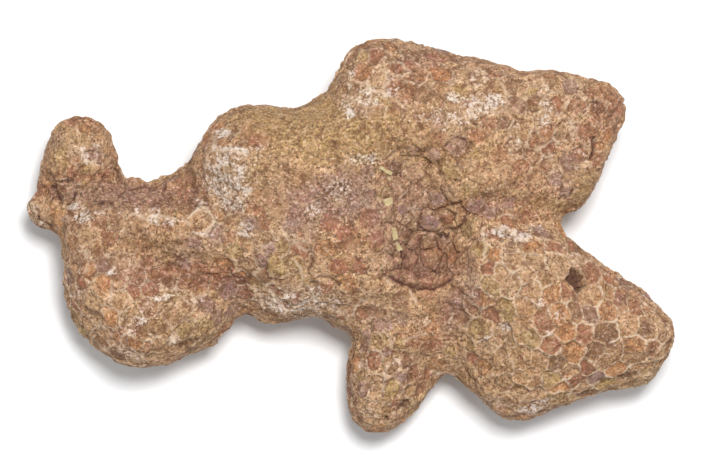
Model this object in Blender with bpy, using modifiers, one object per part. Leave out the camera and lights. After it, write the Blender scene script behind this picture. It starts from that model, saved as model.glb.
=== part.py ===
"""Fossil tabulate coral: one branching, water-worn colony that lies on its side.

Sizes are in millimetres until a piece is placed, and then metres. X runs along the colony,
Y across it and Z up from the table. The body grows from rounded limbs, is fused into one
skin, and the skin is covered with shallow many-sided cups, the mouths of the corallites.
"""
import math
import random

import bmesh
import bpy
from mathutils import Matrix, Vector, noise
from mathutils.bvhtree import BVHTree

MM = 0.001

# Driving sizes, in millimetres
CORALLITE_WIDTH = 3.0      # across one cup, wall to wall
NET_SHARE = 1.12           # grain of the net of corallites, as a share of that width
MAX_FOLD = 0.9             # radians; a sharper edge of the net keeps its run
SHAKE_SHARE = 0.33         # of a corallite's width: how far the net is shaken before it settles
SHAKE_SEED = 7
SETTLING_ROUNDS = 7        # of evening out the net, before each merging of crowded vertices
SETTLING_STAGES = 3
SETTLING_STEP = 0.8        # share of the way to the middle of its neighbours, in one round
CROWDED_SHARE = 0.55       # of a corallite's width: closer vertices are merged
BODY_GRAIN = 0.8           # edge of the fine skin that the limbs are fused into
FORK_GAP = 0.3             # between two pieces at a fork
WEATHERING = 8             # rounds of smoothing that wear the joints between limbs
LAST_WEATHERING = 2        # rounds that soften the hollows, ribs and lumps
UPPER_SIDE = (-0.05, 0.40) # slope, as the normal's height, where the upper side starts and is full
LUMPS = ((9.0, 0.9), (4.5, 0.45))   # width and height of the slow unevenness

# Each limb is the hull of a few rounded swellings: x, y, z, radius across, half height
LIMBS = {
    "trunk bulge": [
        (-14.6, 11.3, 13.8, 8.0, 10.6), (-5.5, 9.8, 14.4, 8.8, 10.6), (-12.0, 4.0, 12.5, 8.5, 10.0),
        (-20.6, 10.4, 12.5, 3.8, 6.5)],
    "trunk middle": [
        (-6.0, 4.0, 12.5, 10.5, 10.8), (7.0, 4.0, 10.4, 14.0, 11.4), (3.0, -3.0, 10.5, 10.0, 10.5)],
    "trunk low bump": [
        (-11.6, -9.6, 9.5, 3.7, 6.5), (-4.5, -3.0, 11.0, 8.0, 10.5), (-14.0, -2.0, 11.0, 7.5, 9.5)],
    "trunk low edge": [
        (-4.5, -2.6, 11.0, 8.3, 10.5), (2.7, -8.4, 9.5, 7.0, 9.0)],
    "upper crest": [
        (3.5, 25.2, 14.5, 4.5, 7.5), (2.0, 15.6, 14.0, 8.0, 10.8), (20.0, 18.4, 14.6, 8.2, 8.3)],
    "upper web": [
        (-6.0, 12.0, 14.0, 7.2, 10.6), (4.0, 16.0, 14.0, 8.0, 10.6), (8.0, 8.0, 11.0, 8.0, 10.0)],
    "upper blade": [
        (8.0, 23.6, 14.5, 3.5, 8.0), (28.0, 20.6, 14.5, 4.3, 7.0), (38.8, 20.4, 14.5, 2.5, 4.8),
        (38.5, 17.6, 14.5, 2.7, 5.0), (33.2, 6.1, 12.5, 2.1, 5.0), (16.0, 9.6, 12.8, 7.0, 9.8)],
    "right web": [
        (28.0, 2.8, 10.5, 2.8, 5.5), (27.0, -1.5, 11.5, 5.0, 8.0), (18.0, 3.0, 11.0, 7.0, 8.8)],
    "lower right root": [
        (12.0, -4.0, 10.0, 9.0, 8.0), (23.0, -3.5, 12.5, 6.5, 10.8), (19.0, -13.0, 10.0, 6.5, 8.8)],
    "lower right arm": [
        (25.0, -5.9, 12.0, 9.0, 10.8), (43.5, -14.8, 10.8, 5.4, 8.0), (44.8, -13.9, 10.2, 4.3, 6.4),
        (43.0, -18.8, 9.0, 4.2, 6.0), (30.0, -15.0, 10.4, 7.5, 11.6)],
    "lower right lobe": [
        (25.3, -22.8, 8.5, 5.1, 7.8), (31.0, -21.0, 8.5, 5.3, 7.0), (30.0, -15.0, 10.4, 7.5, 11.6),
        (21.1, -20.0, 9.0, 4.6, 7.0), (36.0, -18.0, 9.5, 5.6, 7.0)],
    "lower web": [
        (14.6, -13.9, 8.8, 6.5, 7.4), (8.0, -9.0, 10.0, 8.0, 8.8), (16.0, -6.0, 9.0, 7.0, 8.0)],
    "lower stub": [
        (7.6, -14.0, 9.5, 7.2, 8.0), (3.7, -25.0, 8.0, 4.3, 6.0), (4.9, -25.3, 8.0, 4.1, 6.0),
        (9.0, -20.6, 8.0, 3.5, 6.2)],
    "left arm": [
        (-13.0, 0.0, 11.0, 7.5, 9.5), (-22.6, -9.3, 9.5, 5.2, 8.0), (-34.0, 0.0, 12.0, 6.0, 8.0),
        (-21.0, 3.0, 12.0, 5.5, 7.5)],
    "left lobe": [
        (-31.4, -13.5, 9.2, 6.8, 10.0), (-36.9, -7.3, 10.0, 5.9, 9.0), (-23.2, -11.2, 9.0, 5.5, 8.0),
        (-38.3, 0.6, 12.0, 4.7, 7.0), (-36.8, -11.0, 9.0, 5.1, 8.0)],
    "ledge left": [
        (-36.5, 5.4, 8.0, 3.2, 4.2), (-30.4, 4.6, 8.0, 3.2, 4.2)],
    "ledge right": [
        (-30.4, 4.6, 8.0, 3.2, 4.2), (-22.0, 6.4, 10.0, 4.6, 6.0)],
    "knob": [
        (-41.3, 14.7, 10.2, 3.8, 5.4), (-39.2, 14.4, 10.0, 3.1, 5.0), (-42.3, 8.4, 9.5, 4.7, 5.8),
        (-38.6, 10.2, 9.5, 3.9, 5.4)],
    "nub": [
        (-46.2, 3.8, 9.0, 3.0, 4.0), (-41.0, 4.0, 10.0, 4.0, 6.0)],
}

# Dished hollows in the upper side: rim centre x, y, rim reach along X, along Y, deepest point
# x, y, depth. A deepest point near one rim makes that wall steep.
HOLLOWS = {
    "basin between the branches": (11.5, 3.0, 9.5, 12.0, 11.5, 1.0, 2.0),
    "deep broken hollow": (10.6, -0.2, 6.6, 8.2, 12.2, -4.8, 4.2),
    "dip beside the bulge": (-1.5, 3.5, 6.5, 5.5, -1.0, 3.0, 0.7),
    "socket in the broken end": (37.1, 18.9, 1.9, 1.7, 37.1, 18.9, 1.0),
    "pit on the stub": (9.7, -20.1, 1.7, 1.7, 9.7, -20.1, 1.1),
}
# Worn troughs in the upper side: half width, depth, then the points they run through
TROUGHS = {
    "channel between the left lobes": (
        5.6, 2.6, [(-33.5, -1.6), (-26.0, -4.6), (-18.5, -7.6), (-15.0, -11.5)]),
    "valley under the knob": (
        3.0, 1.8, [(-47.0, 7.6), (-42.5, 5.6), (-36.5, 6.6), (-30.0, 6.2), (-24.0, 5.4)]),
    "valley beside the stub": (3.6, 1.8, [(15.5, -9.0), (16.4, -14.5), (13.5, -20.0)]),
    "crease behind the stub": (2.6, 0.9, [(-1.0, -12.0), (6.0, -11.5), (13.0, -12.5)]),
    "crease between the right arms": (2.4, 1.5, [(20.5, 4.6), (26.0, 3.6), (31.5, 1.6)]),
}
# Swollen ribs of the upper side, in the same terms
RIBS = {
    "crest beside the hollow": (3.0, 1.1, [(20.0, 2.0), (20.8, -3.0), (19.4, -8.5)]),
    "rim below the hollow": (2.4, 0.9, [(4.5, -8.0), (10.0, -10.4), (15.5, -8.6)]),
    "back of the left lobe": (3.6, 0.8, [(-38.0, -9.0), (-33.0, -11.5), (-25.0, -10.8)]),
}

# The broken end of the upper right branch: a point on it and the way it faces. It cuts
# only what lies to the right of BROKEN_FROM.
BROKEN_FROM = 32.7
BROKEN_FACE = ((36.7, 14.0, 19.0), (0.80, -0.22, 0.56))

RIM_RISE = 0.25            # how far the walls between the cups stand above the skin
# Cups of other than the usual depth: reach of the zone, depth, middle. Below zero is a dome.
CUP_DEPTH = 0.45
CUP_ZONES = {
    "domes of the hollow": (9.5, -0.5, (11.0, 1.0, 18.0)),
    "domes beside the hollow": (6.0, -0.25, (8.0, 10.0, 20.0)),
    "sandy bulge": (8.5, 0.15, (-9.0, 12.0, 24.0)),
    "sandy saddle": (7.0, 0.18, (1.0, 16.0, 24.0)),
    "honeycomb of the lower right": (17.0, 0.8, (33.0, -12.0, 20.0)),
    "honeycomb of the stub": (8.5, 0.7, (4.0, -22.0, 14.0)),
    "honeycomb of the left lobe": (9.5, 0.65, (-34.0, -11.0, 16.0)),
}
OPEN_CUPS = ((34.4, -6.8, 1.0), (-39.5, 12.2, 0.4), (7.1, -18.9, 0.5))   # x, y, extra depth

# Where each branch is parted from the rest, seen from above, in the order of parting.
# The sides that cross the stone run between the notches of the outline.
CLEAR_HEIGHT = 40.0
TABLE_OUTLINE = [(-70.0, -50.0), (70.0, -50.0), (70.0, 50.0), (-70.0, 50.0)]
FORKS = {
    "left_knob": [(-52.0, 5.3), (-33.5, 8.9), (-33.5, 24.0), (-52.0, 24.0)],
    "left_branch": [(-60.0, 13.0), (-60.0, -25.0), (-9.9, -25.0), (-25.6, 13.0)],
    "lower_stub": [(-3.0, -14.2), (-3.0, -40.0), (15.0, -40.0), (15.0, -20.9)],
    "lower_right_branch": [
        (15.0, -22.0), (16.4, -9.0), (19.5, 0.5), (32.5, 2.4), (60.0, 2.4), (60.0, -40.0),
        (15.0, -40.0)],
    "upper_right_branch": [(-6.0, 21.6), (21.0, -0.5), (60.0, -0.5), (60.0, 40.0), (-6.0, 40.0)],
}

STONE_ROUGHNESS = 0.85
STONE_COLOURS = {
    "trunk": (0.45, 0.29, 0.17),
    "upper_right_branch": (0.47, 0.30, 0.19),
    "lower_right_branch": (0.48, 0.29, 0.16),
    "lower_stub": (0.46, 0.30, 0.18),
    "left_branch": (0.44, 0.27, 0.15),
    "left_knob": (0.42, 0.25, 0.15),
}
COLLECTION_NAME = "fossil_tabulate_coral"


def clear_scene():
    for old in list(bpy.data.objects):
        bpy.data.objects.remove(old, do_unlink=True)


def limb_mesh(bm, balls):
    """One closed hull around its swellings, in bm."""
    for x, y, z, radius, half_height in balls:
        place = Matrix.Translation((x, y, z)) @ Matrix.Diagonal((radius, radius, half_height, 1.0))
        bmesh.ops.create_icosphere(bm, subdivisions=3, radius=1.0, matrix=place)
    hull = bmesh.ops.convex_hull(bm, input=list(bm.verts))
    hull_faces = {item for item in hull["geom"] if isinstance(item, bmesh.types.BMFace)}
    on_hull = {vert for face in hull_faces for vert in face.verts}
    bmesh.ops.delete(bm, geom=[v for v in bm.verts if v not in on_hull], context="VERTS")
    bmesh.ops.delete(bm, geom=[f for f in bm.faces if f not in hull_faces], context="FACES")


def object_from(bm, name):
    mesh = bpy.data.meshes.new(name)
    bm.to_mesh(mesh)
    bm.free()
    made = bpy.data.objects.new(name, mesh)
    bpy.context.scene.collection.objects.link(made)
    return made


def apply_modifiers(made):
    bpy.context.view_layer.update()
    seen = made.evaluated_get(bpy.context.evaluated_depsgraph_get())
    mesh = bpy.data.meshes.new_from_object(seen)
    made.modifiers.clear()
    made.data = mesh


def fused_body():
    bm = bmesh.new()
    for balls in LIMBS.values():
        limb = bmesh.new()
        limb_mesh(limb, balls)
        piece = bpy.data.meshes.new("limb")
        limb.to_mesh(piece)
        limb.free()
        bm.from_mesh(piece)
        bpy.data.meshes.remove(piece)
    body = object_from(bm, "body")
    remesh = body.modifiers.new("fuse", "REMESH")
    remesh.mode = "VOXEL"
    remesh.voxel_size = BODY_GRAIN
    smooth = body.modifiers.new("weather", "SMOOTH")
    smooth.factor = 0.5
    smooth.iterations = WEATHERING
    apply_modifiers(body)
    return body


def fade(share):
    """1 at 0, 0 from 1 on, level at both ends."""
    share = min(max(share, 0.0), 1.0)
    return (1.0 - share * share) ** 2


def hollow_share(x, y, hollow):
    """0 at the deepest point and 1 on the rim, along the straight line between them."""
    rim_x, rim_y, reach_x, reach_y, deep_x, deep_y, _ = hollow
    start = ((deep_x - rim_x) / reach_x, (deep_y - rim_y) / reach_y)
    step = ((x - deep_x) / reach_x, (y - deep_y) / reach_y)
    length = step[0] ** 2 + step[1] ** 2
    if length < 1e-9:
        return 0.0
    along = start[0] * step[0] + start[1] * step[1]
    room = along ** 2 - length * (start[0] ** 2 + start[1] ** 2 - 1.0)
    to_rim = (-along + math.sqrt(max(room, 0.0))) / length
    return 1.0 / to_rim


def distance_to_run(x, y, points):
    nearest = math.inf
    for (ax, ay), (bx, by) in zip(points, points[1:]):
        run = (bx - ax) ** 2 + (by - ay) ** 2
        along = ((x - ax) * (bx - ax) + (y - ay) * (by - ay)) / run
        along = min(max(along, 0.0), 1.0)
        nearest = min(nearest, math.hypot(x - ax - along * (bx - ax), y - ay - along * (by - ay)))
    return nearest


def upper_side_drop(x, y):
    """How far the upper side sinks at x, y; below zero where it swells."""
    drop = 0.0
    for hollow in HOLLOWS.values():
        drop += hollow[-1] * fade(hollow_share(x, y, hollow))
    for half_width, depth, points in TROUGHS.values():
        drop += depth * fade(distance_to_run(x, y, points) / half_width)
    for half_width, height, points in RIBS.values():
        drop -= height * fade(distance_to_run(x, y, points) / half_width)
    return drop


def weather(bm):
    """Press in the hollows and troughs, raise the ribs, then add slow lumps all over."""
    bm.normal_update()
    level, steep = UPPER_SIDE
    moved = []
    for vert in bm.verts:
        facing_up = min(max((vert.normal.z - level) / (steep - level), 0.0), 1.0)
        place = vert.co.copy()
        place.z -= facing_up * upper_side_drop(vert.co.x, vert.co.y)
        for width, height in LUMPS:
            place += vert.normal * height * noise.noise(vert.co / width)
        moved.append(place)
    face_point, face_way = Vector(BROKEN_FACE[0]), Vector(BROKEN_FACE[1]).normalized()
    for vert, place in zip(bm.verts, moved):
        beyond = (place - face_point).dot(face_way)
        if beyond > 0.0 and place.x > BROKEN_FROM and place.y > 0.0:
            place -= beyond * face_way
        vert.co = place
    for _ in range(LAST_WEATHERING):
        bmesh.ops.smooth_vert(bm, verts=bm.verts, factor=0.5, use_axis_x=True, use_axis_y=True,
                              use_axis_z=True)


def shaped_body():
    body = fused_body()
    bm = bmesh.new()
    bm.from_mesh(body.data)
    weather(bm)
    bm.to_mesh(body.data)
    bm.free()
    return body


def uneven(verts, change):
    """How far the corners are from having six neighbours each, after a change of that many."""
    return sum((len(vert.link_edges) + change - 6) ** 2 for vert in verts)


def swap_edges(bm):
    """Turn each edge whose other diagonal gives its four corners more even neighbours."""
    for edge in list(bm.edges):
        if not edge.is_valid:
            continue
        ends = edge.verts
        wings = [vert for face in edge.link_faces for vert in face.verts if vert not in ends]
        if uneven(ends, -1) + uneven(wings, 1) >= uneven(ends, 0) + uneven(wings, 0):
            continue
        turned = bmesh.utils.edge_rotate(edge, True)
        if turned is not None:
            for face in turned.link_faces:
                face.normal_update()
            if turned.calc_face_angle(0.0) > MAX_FOLD:
                bmesh.utils.edge_rotate(turned, False)


def even_out(bm, tree, rounds):
    """Spread the vertices evenly over the skin: swap edges, then slide along the skin."""
    for _ in range(rounds):
        bm.normal_update()
        swap_edges(bm)
        settled = []
        for vert in bm.verts:
            skin_place, skin_normal = tree.find_nearest(vert.co)[:2]
            ring = [edge.other_vert(vert).co for edge in vert.link_edges]
            slide = sum(ring, Vector()) / len(ring) - vert.co
            slide -= slide.dot(skin_normal) * skin_normal
            settled.append(tree.find_nearest(skin_place + SETTLING_STEP * slide)[0])
        for vert, place in zip(bm.verts, settled):
            vert.co = place


def merge_crowded(bm):
    """Merge each pair of vertices that stand closer than half a corallite."""
    taken = set()
    short = []
    for edge in sorted(bm.edges, key=lambda edge: edge.calc_length()):
        if edge.calc_length() > CORALLITE_WIDTH * CROWDED_SHARE:
            break
        around = {near for vert in edge.verts for link in vert.link_edges for near in link.verts}
        if not around & taken:
            short.append(edge)
            taken |= around
    bmesh.ops.collapse(bm, edges=short)


def corallite_seeds(body):
    """A coarse even net over the body: one vertex for each corallite."""
    tree = BVHTree.FromPolygons([v.co for v in body.data.vertices],
                                [tuple(p.vertices) for p in body.data.polygons])
    net = bpy.data.objects.new("net", body.data.copy())
    bpy.context.scene.collection.objects.link(net)
    remesh = net.modifiers.new("coarse", "REMESH")
    remesh.mode = "VOXEL"
    remesh.voxel_size = CORALLITE_WIDTH * NET_SHARE
    apply_modifiers(net)
    bm = bmesh.new()
    bm.from_mesh(net.data)
    bmesh.ops.triangulate(bm, faces=bm.faces, quad_method="SHORT_EDGE")
    dice = random.Random(SHAKE_SEED)
    shake = CORALLITE_WIDTH * SHAKE_SHARE
    for vert in bm.verts:
        vert.co += Vector(dice.uniform(-shake, shake) for _ in range(3))
    for _ in range(SETTLING_STAGES):
        even_out(bm, tree, SETTLING_ROUNDS)
        merge_crowded(bm)
    even_out(bm, tree, SETTLING_ROUNDS)
    bm.to_mesh(net.data)
    bm.free()
    return net, tree


def corallite_cells(net, tree):
    """Turn the net into its many-sided cells, one for each vertex, rims a little above the skin."""
    group = bpy.data.node_groups.new("cells of a net", "GeometryNodeTree")
    group.interface.new_socket("Geometry", in_out="INPUT", socket_type="NodeSocketGeometry")
    group.interface.new_socket("Geometry", in_out="OUTPUT", socket_type="NodeSocketGeometry")
    enter = group.nodes.new("NodeGroupInput")
    dual = group.nodes.new("GeometryNodeDualMesh")
    leave = group.nodes.new("NodeGroupOutput")
    group.links.new(enter.outputs[0], dual.inputs["Mesh"])
    group.links.new(dual.outputs[0], leave.inputs[0])
    net.modifiers.new("cells", "NODES").node_group = group
    apply_modifiers(net)
    bm = bmesh.new()
    bm.from_mesh(net.data)
    for vert in bm.verts:
        place, normal = tree.find_nearest(vert.co)[:2]
        vert.co = place + RIM_RISE * normal
    return bm


def cup_depth(x, y, z):
    """How deep a corallite's floor lies under its rim."""
    for reach, depth, middle in CUP_ZONES.values():
        if math.dist(middle, (x, y, z)) < reach:
            return depth
    return CUP_DEPTH


def sink_cups(bm, tree):
    floors = bmesh.ops.poke(bm, faces=bm.faces, center_mode="MEAN")["verts"]
    for floor in floors:
        place, normal = tree.find_nearest(floor.co)[:2]
        floor.co = place + (RIM_RISE - cup_depth(*place)) * normal
    for hole_x, hole_y, depth in OPEN_CUPS:
        upper = [floor for floor in floors if floor.normal.z > 0.0 or floor.co.z > 8.0]
        nearest = min(upper, key=lambda floor: math.hypot(floor.co.x - hole_x, floor.co.y - hole_y))
        nearest.co.z -= depth


def prism(outline, bottom, top, name):
    bm = bmesh.new()
    ring = [bm.verts.new((x, y, bottom)) for x, y in outline]
    base = bm.faces.new(ring)
    lifted = bmesh.ops.extrude_face_region(bm, geom=[base])["geom"]
    moved = [item for item in lifted if isinstance(item, bmesh.types.BMVert)]
    bmesh.ops.translate(bm, vec=(0.0, 0.0, top - bottom), verts=moved)
    bmesh.ops.recalc_face_normals(bm, faces=bm.faces)
    made = object_from(bm, name)
    made.hide_render = True
    made.display_type = "WIRE"
    return made


def grown(outline, gap):
    """The outline with every side moved outwards by the gap."""
    area = sum(ax * by - bx * ay for (ax, ay), (bx, by) in zip(outline, outline[1:] + outline[:1]))
    turn = 1.0 if area > 0.0 else -1.0
    bigger = []
    count = len(outline)
    for index in range(count):
        before, here, after = (Vector(outline[(index + step) % count]) for step in (-1, 0, 1))
        into, out = (here - before).normalized(), (after - here).normalized()
        into_side = Vector((into.y, -into.x)) * turn
        out_side = Vector((out.y, -out.x)) * turn
        corner = (into_side + out_side) / (1.0 + into_side.dot(out_side))
        bigger.append(tuple(here + gap * corner))
    return bigger


def cut(target, cutter, operation):
    boolean = target.modifiers.new("cut", "BOOLEAN")
    boolean.operation = operation
    boolean.solver = "EXACT"
    boolean.object = cutter
    apply_modifiers(target)


def copy_of(source, name):
    made = source.copy()
    made.data = source.data.copy()
    made.name = name
    bpy.context.scene.collection.objects.link(made)
    return made


def stone(name, colour):
    material = bpy.data.materials.new(name)
    material.use_nodes = True
    shader = material.node_tree.nodes["Principled BSDF"]
    shader.inputs["Base Color"].default_value = (*colour, 1.0)
    shader.inputs["Roughness"].default_value = STONE_ROUGHNESS
    shader.inputs["Metallic"].default_value = 0.0
    return material


def build():
    clear_scene()
    body = shaped_body()
    net, tree = corallite_seeds(body)
    bpy.data.objects.remove(body)
    bm = corallite_cells(net, tree)
    bpy.data.objects.remove(net)
    sink_cups(bm, tree)
    rest = object_from(bm, "rest")
    table = prism(TABLE_OUTLINE, -CLEAR_HEIGHT, 0.0, "table cutter")
    cut(rest, table, "DIFFERENCE")
    cutters = [table]
    pieces = []
    for name, outline in FORKS.items():
        mouth = prism(outline, -CLEAR_HEIGHT, CLEAR_HEIGHT, name + " cutter")
        wide_mouth = prism(grown(outline, FORK_GAP), -CLEAR_HEIGHT, CLEAR_HEIGHT, name + " gap cutter")
        piece = copy_of(rest, name)
        cut(piece, mouth, "INTERSECT")
        cut(rest, wide_mouth, "DIFFERENCE")
        pieces.append(piece)
        cutters += [mouth, wide_mouth]
    rest.name = "trunk"
    pieces.append(rest)
    place_pieces(pieces, cutters)


def place_pieces(pieces, cutters):
    """Bring the pieces to metres, with the origin on the table under the middle of the colony."""
    corners = [vert.co for piece in pieces for vert in piece.data.vertices]
    middle = Vector((0.0, 0.0, 0.0))
    for axis in (0, 1):
        along = [corner[axis] for corner in corners]
        middle[axis] = (min(along) + max(along)) / 2.0
    to_metres = Matrix.Scale(MM, 4) @ Matrix.Translation(-middle)
    colony = bpy.data.collections.new(COLLECTION_NAME)
    tools = bpy.data.collections.new("cutters")
    for home in (colony, tools):
        bpy.context.scene.collection.children.link(home)
    for item in pieces + cutters:
        item.data.transform(to_metres)
        bpy.context.scene.collection.objects.unlink(item)
        (colony if item in pieces else tools).objects.link(item)
    for piece in pieces:
        piece.data.name = piece.name
        piece.data.materials.clear()
        piece.data.materials.append(stone(piece.name, STONE_COLOURS[piece.name]))


build()
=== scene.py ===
import math

import bpy
import numpy as np
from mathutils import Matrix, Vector
from mathutils.bvhtree import BVHTree
from mathutils.kdtree import KDTree


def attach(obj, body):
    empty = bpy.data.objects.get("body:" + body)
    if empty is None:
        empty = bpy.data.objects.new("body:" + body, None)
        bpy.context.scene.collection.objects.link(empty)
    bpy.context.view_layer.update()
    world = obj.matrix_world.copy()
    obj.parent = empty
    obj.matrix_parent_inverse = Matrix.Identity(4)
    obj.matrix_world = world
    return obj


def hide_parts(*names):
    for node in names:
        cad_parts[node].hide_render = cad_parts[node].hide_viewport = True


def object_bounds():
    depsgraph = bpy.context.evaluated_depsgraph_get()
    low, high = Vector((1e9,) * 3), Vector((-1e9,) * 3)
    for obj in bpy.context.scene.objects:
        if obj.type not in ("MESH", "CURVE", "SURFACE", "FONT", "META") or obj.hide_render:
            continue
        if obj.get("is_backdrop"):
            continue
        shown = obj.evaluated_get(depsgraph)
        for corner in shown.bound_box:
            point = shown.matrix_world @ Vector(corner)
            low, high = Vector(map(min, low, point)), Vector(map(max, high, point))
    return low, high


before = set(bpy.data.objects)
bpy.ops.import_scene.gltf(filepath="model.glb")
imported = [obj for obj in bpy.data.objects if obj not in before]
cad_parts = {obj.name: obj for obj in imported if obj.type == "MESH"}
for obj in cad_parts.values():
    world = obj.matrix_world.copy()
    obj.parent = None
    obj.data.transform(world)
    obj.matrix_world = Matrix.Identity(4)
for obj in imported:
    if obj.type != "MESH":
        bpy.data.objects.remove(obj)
cadLow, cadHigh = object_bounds()
mm = 0.001
print("frame loaded:", ", ".join(sorted(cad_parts)))

# The photograph's frame. Places on the colony are given in its pixels, x to the right
# and y down, and come down on the skin by the camera's own view.
photo = {
    "width": 708,
    "height": 472,
    "pixel": 0.15 * mm,          # what one pixel covers at the level height
    "level": 12.0 * mm,
    "middle": (350.0, 236.0),    # pixel over the middle of the colony
}
camera = {
    "lens": 220.0,
    "sensor": 36.0,
    "clipStart": 0.05,
    "clipEnd": 5.0,
}

focalPixels = camera["lens"] / camera["sensor"] * photo["width"]
cameraPlace = Vector((
    (photo["width"] / 2 - photo["middle"][0]) * photo["pixel"],
    (photo["middle"][1] - photo["height"] / 2) * photo["pixel"],
    photo["level"] + photo["pixel"] * focalPixels,
))

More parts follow.
